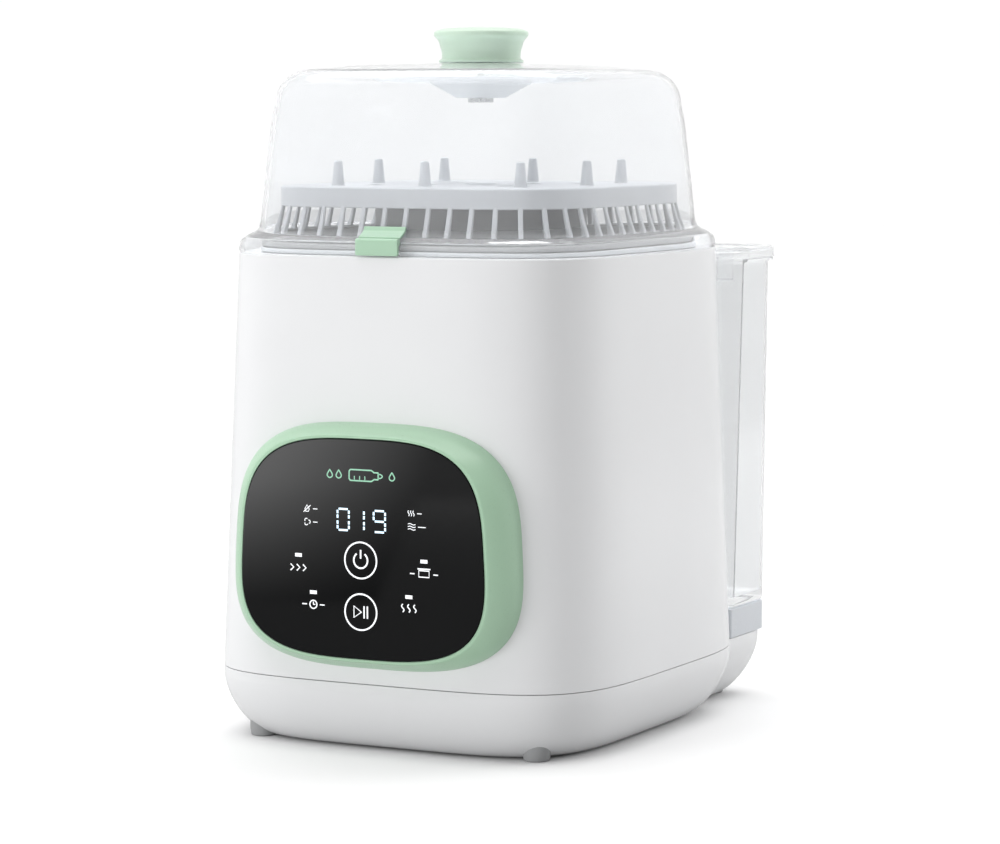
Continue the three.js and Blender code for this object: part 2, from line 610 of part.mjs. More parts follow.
// ---- Lid ----------------------------------------------------------------------------------------
// Half widths of the lid's flange, side and shoulder; t takes the inner face in by the wall
function domeProfile(t) {
  return [
    [122.7 - t, LID_Z], [123 - t, 297], [121.5 - t, 301], [117.5 - t, 304.2 - t * 0.7],
    [113.8 - t, 306.2 - t],
    [112.2 - t, 310 - t], [109 - t, 343], [106.3 - t, 370], [104.3 - t, 382],
    ...arc(86, 383.5, 18 - t, 19.5 - t, 0.2, Math.PI / 2, 3), [48, 406.2 - t], [0, DOME_TOP_Z - t],
  ];
}

function lidDome() {
  const outer = squircle([[0, LID_Z], ...domeProfile(0)]).intersect(ahead(BACK_Y));
  const hollow = domeProfile(DOME_WALL);
  const inner = squircle([[0, LID_Z - PAST], [hollow[0][0], LID_Z - PAST], ...hollow])
    .intersect(ahead(BACK_Y - DOME_WALL));
  const [y, z] = LATCH_HINGE;
  const half = LATCH_HALF + 0.4;
  const latchSeat = union(box(-half, half, y - 8, y + 1.2, 290, z - 2.4),
    box(-half, half, y - 8, y + LATCH_R + GAP, z - 2.6, z + 2.6));
  return outer.subtract(inner).subtract(post(0, 0, 395, 415, 5, 5, 20)).subtract(latchSeat);
}

const lidBoss = () => turned([[5.2, 386], [15.5, 386], [32, 396.4], [32, 398.6], [64, 398.6],
  [66, 400.2], [66, 401.6], [5.2, 401.6], [5.2, 386]]);

const lidKnob = () => turned([[0, KNOB_Z + 6], [3, KNOB_Z + 6], [3, KNOB_Z], [26, KNOB_Z],
  [26, KNOB_Z + 1.2], [24, KNOB_Z + 2.4], [24.4, 416], [26.6, 421.5], [29, 424.2], [29, 426.4],
  [25, 427.4], [0, KNOB_TOP_Z]], 0, 0, 28);

const knobScrew = () => union(post(0, 0, 383, 385.7, 8, 8, 20),
  post(0, 0, 385.2, KNOB_Z + 5.5, 2.4, 2.4, 16));

function lidLatch() {
  const [y, z] = LATCH_HINGE;
  const plate = union(box(-LATCH_HALF, LATCH_HALF, y - LATCH_R, y + 0.2, LID_Z + GAP, z),
    rodX(-LATCH_HALF, LATCH_HALF, y, z, LATCH_R, 16));
  return plate.subtract(rodX(-LATCH_HALF - PAST, LATCH_HALF + PAST, y, z, 1.1, 16));
}
const latchPin = () => rodX(0.4 - LATCH_HALF, LATCH_HALF - 0.4, ...LATCH_HINGE, 0.8, 12);

// ---- Assembly ----------------------------------------------------------------------------------
piece('base_shell', baseShell(), white);
piece('main_shell', mainShell(), white);
piece('chassis', chassis(), grey);
for (const [place, [x, y]] of Object.entries(FEET)) piece(`foot_${place}`, foot(x, y), rubber);
SCREWS.forEach(([x, y], i) => piece(`base_screw_${i + 1}`, baseScrew(x, y), steel));

piece('bezel_ring', bezelRing(), green);
piece('panel_glass', panelGlass(), black);
piece('control_board', controlBoard(), board);
piece('display_module', displayModule(), dark);

piece('wash_tub', washTub(), frosted);
piece('tub_gasket', tubGasket(), rubber);
piece('heater_plate', heaterPlate(), steel);
piece('drain_filter', drainFilter(), grey);
piece('spray_hub', sprayHub(), grey);
piece('spray_arm', sprayArm(), grey);
piece('pump_body', pumpBody(), dark);
piece('pump_motor', pumpMotor(), steel);
piece('pump_impeller', pumpImpeller(), grey);
piece('drain_pump', drainPump(), dark);
piece('fan_housing', fanHousing(), dark);
piece('fan_motor', fanMotor(), steel);
piece('fan_impeller', fanImpeller(), grey);
piece('fan_duct', fanDuct(), dark);
piece('power_board', powerBoard(), board);
piece('drain_hose', drainHose(), rubber);
piece('power_inlet', powerInlet(), dark);
piece('filter_cover', filterCover(), white);
piece('air_filter', airFilter(), foam);

piece('tank_dock', tankDock(), white);
piece('clean_tank', tank(1), clear);
piece('waste_tank', tank(-1), clear);
piece('clean_tank_lid', tankLid(1), clear);
piece('waste_tank_lid', tankLid(-1), clear);
piece('clean_lid_pin', hingePin(1), steel);
piece('waste_lid_pin', hingePin(-1), steel);
piece('clean_tank_clip', tankClip(1), clear);
piece('waste_tank_clip', tankClip(-1), clear);
piece('clean_tank_valve', tankValve(), grey);

piece('bottle_rack', bottleRack(), frosted);
piece('upper_rack', upperRack(), frosted);
piece('rack_core', rackCore(), grey);

piece('lid_dome', lidDome(), clear);
piece('lid_boss', lidBoss(), frosted);
piece('lid_knob', lidKnob(), green);
piece('knob_screw', knobScrew(), steel);
piece('lid_latch', lidLatch(), green);
piece('latch_pin', latchPin(), steel);

export default washer;
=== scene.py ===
"""Looks of a countertop bottle washer-steriliser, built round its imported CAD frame.

Shapes are written in millimetres about the casing's upright axis and turned into metres in the
row frame when a mesh is made. The front faces -Y.
"""
import math

import bmesh
import bpy
from mathutils import Matrix, Vector


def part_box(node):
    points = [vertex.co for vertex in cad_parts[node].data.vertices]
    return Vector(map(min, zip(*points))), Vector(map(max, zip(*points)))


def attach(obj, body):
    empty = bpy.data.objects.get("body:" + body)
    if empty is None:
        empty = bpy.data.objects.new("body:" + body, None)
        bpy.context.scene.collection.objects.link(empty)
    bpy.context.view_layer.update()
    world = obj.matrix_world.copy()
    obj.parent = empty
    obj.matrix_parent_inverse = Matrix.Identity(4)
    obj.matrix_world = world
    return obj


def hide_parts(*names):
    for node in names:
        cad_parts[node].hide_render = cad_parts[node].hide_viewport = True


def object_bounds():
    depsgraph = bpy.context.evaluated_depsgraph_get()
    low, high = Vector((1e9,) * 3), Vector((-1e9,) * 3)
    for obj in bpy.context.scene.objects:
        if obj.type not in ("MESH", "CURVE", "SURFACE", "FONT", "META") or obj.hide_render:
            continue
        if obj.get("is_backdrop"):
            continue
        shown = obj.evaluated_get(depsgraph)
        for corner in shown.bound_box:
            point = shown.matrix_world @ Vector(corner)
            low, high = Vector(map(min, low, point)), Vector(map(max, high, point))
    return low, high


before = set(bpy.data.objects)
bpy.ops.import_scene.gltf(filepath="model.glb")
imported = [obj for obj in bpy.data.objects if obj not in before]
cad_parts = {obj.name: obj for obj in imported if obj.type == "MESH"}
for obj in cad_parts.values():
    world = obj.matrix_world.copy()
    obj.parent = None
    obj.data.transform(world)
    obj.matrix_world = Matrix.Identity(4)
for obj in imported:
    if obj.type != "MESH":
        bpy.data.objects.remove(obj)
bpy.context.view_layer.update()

# ---- Places read from the frame ---------------------------------------------------------------
MM = 0.001
ON_AXIS = 1e-3             # radius of a profile's points on the axis; make() merges them
knob_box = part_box("lid_knob")
AXIS_Y = (knob_box[0].y + knob_box[1].y) / 2


def cad(node):
    """Lowest and highest corner of a CAD node, in millimetres about the casing's axis."""
    low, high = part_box(node)
    shift = Vector((0, AXIS_Y, 0))
    return (low - shift) / MM, (high - shift) / MM


def centre(node):
    low, high = cad(node)
    return [(a + b) / 2 for a, b in zip(low, high)]


def metres(p):
    return (p[0] * MM, p[1] * MM + AXIS_Y, p[2] * MM)


shell_low, shell_high = cad("main_shell")
base_low, base_high = cad("base_shell")
SEAM_Z, TOP_Z = shell_low.z, shell_high.z
BASE_HALF, TOP_HALF = base_high.x, 122.9
WIDEST_Z = 42              # the casing narrows upwards from here
BACK_Y = shell_high.y
EXTRA = 7.5                # half depth minus half width
EXTRA_FADE = 60            # half width under which an outline has less of it
CASE_EXP = 4.4
WALL = 3.0
FLOOR_Z = base_low.z
SIDES = 176                # points round an outline
BACK_SOFT = 6.0            # rounding of the upright edges of the flat back
EDGE = 0.3                 # chamfer on both sides of the seam


def case_half(z):
    return BASE_HALF + (TOP_HALF - BASE_HALF) * (z - WIDEST_Z) / (TOP_Z - WIDEST_Z)


# ---- Outlines and profiles --------------------------------------------------------------------
def soft_min(y, limit, soft):
    """The lesser of y and limit, rounded where they cross."""
    h = min(1, max(0, 0.5 + 0.5 * (limit - y) / soft))
    return limit * (1 - h) + y * h - soft * h * (1 - h)


def squircle(half, exponent=CASE_EXP, extra=EXTRA, back=None, sides=SIDES):
    deep = half + extra * min(1, half / EXTRA_FADE)
    points = []
    for k in range(sides):
        c, s = math.cos(2 * math.pi * k / sides), math.sin(2 * math.pi * k / sides)
        r = (abs(c / half) ** exponent + abs(s / deep) ** exponent) ** (-1 / exponent)
        y = r * s
        points.append((r * c, y if back is None else soft_min(y, back, BACK_SOFT)))
    return points


def circle(radius, x=0, y=0, sides=64):
    return [(x + radius * math.cos(2 * math.pi * k / sides), y + radius * math.sin(2 * math.pi * k / sides))
            for k in range(sides)]


def round_rect(x0, x1, y0, y1, radii, steps=8):
    """Rounded rectangle; corners and radii run (x0, y0), (x1, y0), (x1, y1), (x0, y1)."""
    corners = [(x0, y0, 180), (x1, y0, 270), (x1, y1, 0), (x0, y1, 90)]
    points = []
    for (x, y, start), r in zip(corners, radii):
        cx = x + r if x == x0 else x - r
        cy = y + r if y == y0 else y - r
        for k in range(steps + 1):
            a = math.radians(start + 90 * k / steps)
            points.append((cx + r * math.cos(a), cy + r * math.sin(a)))
    return points


def rounded(points, closed=False, steps=5):
    """A profile whose points may have a third number, the radius that rounds them."""
    made = []
    count = len(points)
    for i, p in enumerate(points):
        radius = p[2] if len(p) > 2 else 0
        if radius == 0 or (not closed and i in (0, count - 1)):
            made.append((p[0], p[1]))
            continue
        at = Vector(p[:2])
        u = Vector(points[i - 1][:2]) - at
        v = Vector(points[(i + 1) % count][:2]) - at
        reach = 0.49 * min(u.length, v.length)
        u.normalize()
        v.normalize()
        half = u.angle(v) / 2
        run = min(reach, radius / math.tan(half))
        radius = run * math.tan(half)
        centre = at + (u + v).normalized() * radius / math.sin(half)
        a, b = at + u * run - centre, at + v * run - centre
        turn = a.angle(b)
        for k in range(steps + 1):
            f = k / steps
            q = centre + (a * math.sin((1 - f) * turn) + b * math.sin(f * turn)) / math.sin(turn)
            made.append((q.x, q.y))
    return made


def smooth(points, steps=5):
    """Catmull-Rom curve through points of any dimension."""
    made = []
    for i in range(len(points) - 1):
        p = [points[max(0, i - 1)], points[i], points[i + 1], points[min(len(points) - 1, i + 2)]]
        for k in range(steps):
            t = k / steps
            w = ((-t + 2 * t * t - t ** 3) / 2, (2 - 5 * t * t + 3 * t ** 3) / 2,
                 (t + 4 * t * t - 3 * t ** 3) / 2, (t ** 3 - t * t) / 2)
            made.append(tuple(sum(w[j] * p[j][d] for j in range(4)) for d in range(len(points[0]))))
    return made + [tuple(points[-1])]


def arc(cx, cz, rx, rz, start, end, steps):
    angles = [math.radians(start + (end - start) * k / steps) for k in range(steps + 1)]
    return [(cx + rx * math.cos(a), cz + rz * math.sin(a)) for a in angles]


# ---- Meshes -----------------------------------------------------------------------------------
class Mesh:
    """Vertices in millimetres and faces, gathered from lofts, plates and blocks."""

    def __init__(self):
        self.verts, self.faces = [], []

    def add(self, verts, faces):
        first = len(self.verts)
        self.verts += [tuple(v) for v in verts]
        self.faces += [tuple(first + i for i in f) for f in faces]
        return self

    def loft(self, rings, closed=False):
        n = len(rings[0])
        faces = []
        for a in range(len(rings) - (0 if closed else 1)):
            b = (a + 1) % len(rings)
            faces += [(a * n + k, a * n + (k + 1) % n, b * n + (k + 1) % n, b * n + k) for k in range(n)]
        if not closed:
            faces += [tuple(reversed(range(n))), tuple((len(rings) - 1) * n + k for k in range(n))]
        return self.add([v for ring in rings for v in ring], faces)

    def lathe(self, profile, x=0, y=0, closed=False, sides=64):
        return self.loft([[(px, py, z) for px, py in circle(r, x, y, sides)]
                          for r, z in profile], closed)

    def shell(self, profile, closed=False):
        return self.loft([[(x, y, z) for x, y in squircle(half)] for half, z in profile], closed)

    def block(self, low, high, bevel, segments=3):
        bm = bmesh.new()
        bmesh.ops.create_cube(bm, size=1)
        for v in bm.verts:
            v.co = Vector([low[i] if v.co[i] < 0 else high[i] for i in range(3)])
        bmesh.ops.bevel(bm, geom=bm.edges[:], offset=bevel, segments=segments, profile=0.5, affect="EDGES")
        bm.verts.index_update()
        self.add([v.co[:] for v in bm.verts], [[v.index for v in f.verts] for f in bm.faces])
        bm.free()
        return self

    def turn(self, first, matrix):
        """Moves the vertices from number first on."""
        for i in range(first, len(self.verts)):
            self.verts[i] = tuple(matrix @ Vector(self.verts[i]))
        return self

    def make(self, name):
        mesh = bpy.data.meshes.new(name)
        mesh.from_pydata([metres(v) for v in self.verts], [], self.faces)
        bm = bmesh.new()
        bm.from_mesh(mesh)
        bmesh.ops.remove_doubles(bm, verts=bm.verts, dist=3 * ON_AXIS * MM)
        bmesh.ops.recalc_face_normals(bm, faces=bm.faces)
        bm.to_mesh(mesh)
        bm.free()
        obj = bpy.data.objects.new(name, mesh)
        bpy.context.scene.collection.objects.link(obj)
        return obj


def carve(obj, *cutters, operation="DIFFERENCE"):
    for cutter in cutters:
        tool = obj.modifiers.new("carve", "BOOLEAN")
        tool.object = cutter
        tool.operation = operation
        tool.solver = "EXACT"
    bpy.context.view_layer.update()
    done = bpy.data.meshes.new_from_object(obj.evaluated_get(bpy.context.evaluated_depsgraph_get()))
    obj.modifiers.clear()
    obj.data = done
    for cutter in cutters:
        bpy.data.objects.remove(cutter)
    return obj


def dress(obj, body, slot, material, *nodes, sharp=32):
    obj.data.materials.clear()
    obj.data.materials.append(material)
    obj.data.shade_smooth()
    obj.data.set_sharp_from_angle(angle=math.radians(sharp))
    flat = obj.modifiers.new("normals", "WEIGHTED_NORMAL")
    flat.keep_sharp = True
    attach(obj, body)
    if nodes:
        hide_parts(*nodes)
    return obj


# ---- Materials --------------------------------------------------------------------------------
BLOTCH_SCALE = 14          # of the slow noise that tints a plastic
NOISE_LOW, NOISE_HIGH = 0.3, 0.7
LAMP_THROUGH = 0.92        # share of the lamps' light that a clear moulding lets through


def shader_node(tree, kind, inputs=None, **settings):
    made = tree.nodes.new("ShaderNode" + kind)
    for key, value in settings.items():
        setattr(made, key, value)
    for key, value in (inputs or {}).items():
        made.inputs[key].default_value = value
    return made


def new_material(name):
    mat = bpy.data.materials.new(name)
    mat.use_nodes = True
    return mat, mat.node_tree, mat.node_tree.links.new


def plastic(name, colour, rough, spread=0.02, rough_spread=0.06, grain=1400, bump=0.03, metal=0,
            coat=0, specular=0.5, glow=None, scatter=0):
    """Moulded plastic or metal: slow noise drives the colour, fine noise the roughness and bump."""
    mat, tree, link = new_material(name)
    shader = tree.nodes["Principled BSDF"]
    place = shader_node(tree, "TexCoord")
    slow = shader_node(tree, "TexNoise", {"Scale": BLOTCH_SCALE, "Detail": 3})
    fine = shader_node(tree, "TexNoise", {"Scale": grain, "Detail": 2})
    for noise in (slow, fine):
        link(place.outputs["Object"], noise.inputs["Vector"])
    tint = shader_node(tree, "ValToRGB")
    first, last = tint.color_ramp.elements
    first.position, last.position = NOISE_LOW, NOISE_HIGH
    first.color = [c * (1 - spread) for c in colour] + [1]
    last.color = [min(1, c * (1 + spread)) for c in colour] + [1]
    link(slow.outputs["Fac"], tint.inputs["Fac"])
    link(tint.outputs["Color"], shader.inputs["Base Color"])
    gloss = shader_node(tree, "MapRange", {
        "From Min": NOISE_LOW, "From Max": NOISE_HIGH,
        "To Min": max(0, rough - rough_spread / 2), "To Max": rough + rough_spread / 2})
    link(fine.outputs["Fac"], gloss.inputs["Value"])
    link(gloss.outputs["Result"], shader.inputs["Roughness"])
    skin = shader_node(tree, "Bump", {"Strength": bump, "Distance": 0.2 * MM})
    link(fine.outputs["Fac"], skin.inputs["Height"])
    link(skin.outputs["Normal"], shader.inputs["Normal"])
    values = {"Metallic": metal, "Coat Weight": coat, "Coat Roughness": 0.12, "Specular IOR Level": specular}
    if scatter:
        values["Subsurface Weight"] = scatter
        values["Subsurface Radius"] = (4 * MM, 4 * MM, 4 * MM)
        values["Subsurface Scale"] = 1
    if glow:
        link(tint.outputs["Color"], shader.inputs["Emission Color"])
        values["Emission Strength"] = glow
    for key, value in values.items():
        shader.inputs[key].default_value = value
    return mat


def clear_plastic(name, colour, rough, ior, haze):
    """Clear moulding that refracts what is behind it and lets the lamps through to what is inside."""
    mat, tree, link = new_material(name)
    shader = tree.nodes["Principled BSDF"]
    shader.inputs["Transmission Weight"].default_value = 1 - haze
    shader.inputs["IOR"].default_value = ior
    place = shader_node(tree, "TexCoord")
    flow = shader_node(tree, "TexNoise", {"Scale": 9, "Detail": 2})
    link(place.outputs["Object"], flow.inputs["Vector"])
    tint = shader_node(tree, "ValToRGB")
    first, last = tint.color_ramp.elements
    first.color = [c * 0.985 for c in colour] + [1]
    last.color = list(colour) + [1]
    link(flow.outputs["Fac"], tint.inputs["Fac"])
    link(tint.outputs["Color"], shader.inputs["Base Color"])
    gloss = shader_node(tree, "MapRange", {"To Min": rough * 0.6, "To Max": rough * 1.4})
    link(flow.outputs["Fac"], gloss.inputs["Value"])
    link(gloss.outputs["Result"], shader.inputs["Roughness"])
    through = shader_node(tree, "BsdfTransparent", {"Color": [c * LAMP_THROUGH for c in colour] + [1]})
    path = shader_node(tree, "LightPath")
    mix = shader_node(tree, "MixShader")
    link(path.outputs["Is Shadow Ray"], mix.inputs["Fac"])
    link(shader.outputs["BSDF"], mix.inputs[1])
    link(through.outputs["BSDF"], mix.inputs[2])
    link(mix.outputs["Shader"], tree.nodes["Material Output"].inputs["Surface"])
    return mat


CASE_WHITE = plastic("case_white", (0.80, 0.805, 0.815), rough=0.24, spread=0.008, rough_spread=0.04,
                     bump=0.02)
BEZEL_GREEN = plastic("bezel_green", (0.40, 0.60, 0.43), rough=0.3, spread=0.015, bump=0.02)
KNOB_GREEN = plastic("knob_green", (0.64, 0.80, 0.66), rough=0.3, spread=0.02, bump=0.02, scatter=0.15)
LATCH_GREEN = plastic("latch_green", (0.42, 0.62, 0.46), rough=0.32, spread=0.02, bump=0.02, scatter=0.1)
PANEL_BLACK = plastic("panel_black", (0.004, 0.0042, 0.0045), rough=0.06, spread=0.1, rough_spread=0.02,
                      bump=0.0, specular=0.12)
DOME_CLEAR = clear_plastic("dome_clear", (0.955, 0.962, 0.97), rough=0.02, ior=1.25, haze=0.1)
TANK_CLEAR = clear_plastic("tank_clear", (0.982, 0.988, 0.993), rough=0.02, ior=1.25, haze=0.2)
FROSTED = plastic("frosted", (0.66, 0.68, 0.70), rough=0.42, spread=0.02, scatter=0.2)
BOSS_FROST = clear_plastic("boss_frost", (0.93, 0.95, 0.965), rough=0.35, ior=1.3, haze=0.6)
RACK_WHITE = plastic("rack_white", (0.50, 0.515, 0.54), rough=0.4, spread=0.02, scatter=0.1)
# the dark grey of the cup under the upper rack's deck is partly painted shade, standing in for the shade
# between the slats
RACK_SHADE_GREY = plastic("rack_grey", (0.16, 0.165, 0.17), rough=0.45, spread=0.03)
PART_GREY = plastic("part_grey", (0.36, 0.375, 0.39), rough=0.45, spread=0.04)
PART_DARK = plastic("part_dark", (0.022, 0.023, 0.025), rough=0.5, spread=0.08)
RUBBER = plastic("rubber_grey", (0.36, 0.365, 0.37), rough=0.75, spread=0.04, grain=2200, bump=0.15)
STEEL = plastic("steel", (0.55, 0.56, 0.57), rough=0.28, spread=0.04, metal=1, grain=700)
BOARD = plastic("board_green", (0.02, 0.11, 0.05), rough=0.4, spread=0.12, coat=0.3)
FOAM = plastic("filter_foam", (0.78, 0.78, 0.74), rough=0.95, spread=0.06, grain=500, bump=0.5)
DOCK = plastic("dock_white", (0.62, 0.645, 0.68), rough=0.3, spread=0.01)
MARK_WHITE = plastic("mark_white", (0.82, 0.84, 0.86), rough=0.4, glow=0.55)
MARK_DIGIT = plastic("mark_digit", (0.62, 0.80, 0.92), rough=0.4, glow=0.95)
MARK_GREEN = plastic("mark_green", (0.30, 0.58, 0.42), rough=0.4, glow=0.30)

# ---- Casing -----------------------------------------------------------------------------------
BOTTOM_IN, BOTTOM_UP, BOTTOM_EXP = 22, 36, 1.6
UNDERSIDE = 30             # width of the flat ring inside the bowl's rounding
BASE_TOP = SEAM_Z - 0.4
UPPER_Z = 290              # height where the wall's inside starts its shoulder


def base_profile(rim, low, top, steps=16):
    """Half widths of the base, from its flat underside round a superellipse to the seam."""
    profile = [(ON_AXIS, low), (rim - BOTTOM_IN - UNDERSIDE, low)]
    for k in range(steps + 1):
        a = math.radians(90 * k / steps)
        profile.append((rim - BOTTOM_IN + BOTTOM_IN * math.sin(a) ** (2 / BOTTOM_EXP),
                        low + BOTTOM_UP - BOTTOM_UP * math.cos(a) ** (2 / BOTTOM_EXP)))
    return profile + [(rim, top - EDGE), (rim - EDGE, top), (ON_AXIS, top)]


def bowl(name, grow=0.0, top=BASE_TOP):
    return Mesh().shell(base_profile(BASE_HALF + grow, FLOOR_Z - grow, top)).make(name)


dock_low, dock_high = cad("tank_dock")
SHELF_Y = base_high.y
SHELF_HALF, SHELF_EXP = 105, 11


def rear_shelf(name, grow=0.0, top=BASE_TOP):
    extra = SHELF_HALF - dock_high.x
    rings = [[(x, y + SHELF_Y - SHELF_HALF, z) for x, y in squircle(half, SHELF_EXP, extra)]
             for half, z in base_profile(dock_high.x + grow, FLOOR_Z - grow, top)]
    return Mesh().loft(rings).make(name)


inlet_low, inlet_high = cad("power_inlet")
base = carve(bowl("base_shell_look"), rear_shelf("shelf"), operation="UNION")
hollow = carve(bowl("hollow", -WALL, SEAM_Z + 4), rear_shelf("shelf_hollow", -WALL, SEAM_Z + 4),
               operation="UNION")
gap = Vector((0.4, 0, 0.4))
socket_hole = Mesh().block(inlet_low - gap + Vector((0, 2, 0)), inlet_high + gap + Vector((0, 12, 0)),
                           0.5).make("socket_hole")
carve(base, hollow, socket_hole)
dress(base, "housing", "case_white", CASE_WHITE, "base_shell")

TUB_HALF = 108
mouth = TUB_HALF + 1
profile = rounded([(case_half(SEAM_Z), SEAM_Z, EDGE), (case_half(SEAM_Z + 2), SEAM_Z + 2),
                   (case_half(UPPER_Z), UPPER_Z), (TOP_HALF, TOP_Z, 1.2), (mouth, TOP_Z, 0.5),
                   (mouth, TOP_Z - WALL), (case_half(UPPER_Z) - WALL, TOP_Z - WALL),
                   (case_half(SEAM_Z) - WALL, SEAM_Z)], closed=True)
outline = []
for half, z in profile:
    back = BACK_Y - (WALL if half < case_half(z) - 2 and half > mouth + 1 else 0)
    outline.append([(x, y, z) for x, y in squircle(half, back=back)])
main_shell = Mesh().loft(outline, closed=True).make("main_shell_look")
cover_low, cover_high = cad("filter_cover")
OUTSIDE_X, INSIDE_X = -200, -110   # ends of a cutter that goes through the left wall
gap = Vector((0, 0.5, 0.5))
drawer_hole = Mesh().block((OUTSIDE_X, *(cover_low - gap).yz), (INSIDE_X, *(cover_high + gap).yz),
                           2.5).make("drawer_hole")
carve(main_shell, drawer_hole)
dress(main_shell, "housing", "case_white", CASE_WHITE, "main_shell")

FOOT_HIGH = 10.5
profile = rounded([(ON_AXIS, 0), (7.6, 0, 1.2), (8.2, 4), (8.3, FOOT_HIGH), (ON_AXIS, FOOT_HIGH)])
for node in sorted(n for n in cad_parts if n.startswith("foot_")):
    foot = Mesh().lathe(profile, *centre(node)[:2], sides=40)
    dress(foot.make(node + "_look"), "housing", "rubber_grey", RUBBER, node)

# ---- Filter drawer ----------------------------------------------------------------------------
heights = (60, 80, 100, 130)
profile = [(case_half(z), z) for z in heights] + [(case_half(z) - WALL, z) for z in reversed(heights)]
cover = Mesh().shell(profile, closed=True).make("filter_cover_look")
window = Mesh().block((OUTSIDE_X, *cover_low.yz), (INSIDE_X, *cover_high.yz), 2.2, 4).make("window")
carve(cover, window, operation="INTERSECT")
SLOTS, SLOT_STEP, SLOT_HIGH, SLOT_IN = 6, 4.6, 2.2, 12
slots = Mesh()
for i in range(SLOTS):
    z = cover_low.z + 13 + SLOT_STEP * i
    slots.block((-140, cover_low.y + SLOT_IN, z), (-120, cover_high.y - SLOT_IN, z + SLOT_HIGH), 0.9)
tray = Mesh().block((-128, cover_low.y + 3, cover_low.z + 2), (-96, cover_high.y - 3, cover_low.z + 5),
                    0.8).make("tray")
carve(cover, slots.make("slots"))
carve(cover, tray, operation="UNION")
dress(cover, "filter_drawer", "case_white", CASE_WHITE, "filter_cover")

foam_low, foam_high = cad("air_filter")
FOLDS, FOLD_DEEP = 32, 1.5
folds = [(FOLD_DEEP if k % 2 else 0, foam_low.y + (foam_high.y - foam_low.y) * k / FOLDS)
         for k in range(FOLDS + 1)]
zigzag = [(foam_low.x + deep, y) for deep, y in folds]
zigzag += [(foam_high.x - deep, y) for deep, y in reversed(folds)]
foam = Mesh().loft([[(x, y, z) for x, y in zigzag] for z in (foam_low.z, foam_high.z)])
dress(foam.make("air_filter_look"), "filter_drawer", "filter_foam", FOAM, "air_filter", sharp=20)

# ---- Control panel ----------------------------------------------------------------------------
glass_low, glass_high = cad("panel_glass")
PANEL_Z = (glass_low.z + glass_high.z) / 2
GLASS_Y, GLASS_BACK = glass_low.y, glass_high.y
GLASS_W, GLASS_H = 82, (glass_high.z - glass_low.z) / 2
PANEL_EXP, PANEL_SIDE, PANEL_TAPER = 3.3, 0.98, 0.045
FLARE_ROWS = 15            # rows of points from the glass to the casing


def panel_outline(wide, high, sides=168):
    """Superellipse in x and z that is a little wider at its foot than at its head."""
    points = []
    for k in range(sides):
        c, s = math.cos(2 * math.pi * k / sides), math.sin(2 * math.pi * k / sides)
        r = (abs(c) ** PANEL_EXP + abs(s) ** PANEL_EXP) ** (-1 / PANEL_EXP)
        points.append((r * c * wide * (PANEL_SIDE - PANEL_TAPER * r * s), PANEL_Z + r * s * high))
    return points


def front_of_case(x, z):
    """The y of the casing's front at a place."""
    half = case_half(z)
    return -(half + EXTRA) * (1 - min(1, abs(x / half)) ** CASE_EXP) ** (1 / CASE_EXP)


rings = [[(x, y, z) for x, z in panel_outline(GLASS_W - inset, GLASS_H - inset)]
         for inset, y in ((0.2, GLASS_BACK), (0, GLASS_BACK - 0.3), (0, GLASS_Y + 0.5), (0.2, GLASS_Y + 0.12),
                          (0.6, GLASS_Y))]
panel_glass = dress(Mesh().loft(rings).make("panel_glass_look"), "housing", "panel_black", PANEL_BLACK,
                    "panel_glass")

# The ring's front flares back from the glass in a full curve and ends on the casing's front
flare = smooth([(GLASS_W + 1.0, GLASS_H + 1.0, GLASS_Y + 0.5), (GLASS_W + 2.6, GLASS_H + 2.2, GLASS_Y + 0.9),
                (89.0, 68.6, -146.6), (93.2, 71.5, -140.6), (95.6, 73.0, -131.0), (96.5, 73.5, -110.0)], 10)
outlines = [panel_outline(w, h) for w, h, y in flare]
columns = []
for k in range(len(outlines[0])):
    path = [(o[k][0], f[2], o[k][1]) for o, f in zip(outlines, flare)]
    hit = next(i for i, (x, y, z) in enumerate(path) if y > front_of_case(x, z))
    (xa, ya, za), (xb, yb, zb) = path[hit - 1], path[hit]
    ga, gb = ya - front_of_case(xa, za), yb - front_of_case(xb, zb)
    at = hit - 1 + ga / (ga - gb)
    column = []
    for m in range(FLARE_ROWS):
        s = at * m / (FLARE_ROWS - 1)
        i = min(int(s), len(path) - 2)
        column.append(tuple(path[i][d] + (s - i) * (path[i + 1][d] - path[i][d]) for d in range(3)))
    columns.append(column)
rings = [[column[m] for column in columns] for m in range(FLARE_ROWS)]
rings.append([(x, front_of_case(x, z) + 0.2, z) for x, z in panel_outline(GLASS_W - 2, GLASS_H - 2)])
for grow, y in ((-2, GLASS_BACK + 0.3), (0.3, GLASS_BACK + 0.3), (0.3, GLASS_Y + 0.5), (0.6, GLASS_Y + 0.2)):
    rings.append([(x, y, z) for x, z in panel_outline(GLASS_W + grow, GLASS_H + grow)])
dress(Mesh().loft(rings, closed=True).make("bezel_ring_look"), "housing", "bezel_green", BEZEL_GREEN,
      "bezel_ring", sharp=40)

# ---- Lit marks on the glass -------------------------------------------------------------------
MARK_Y0, MARK_Y1 = GLASS_Y - 0.14, GLASS_Y + 0.05


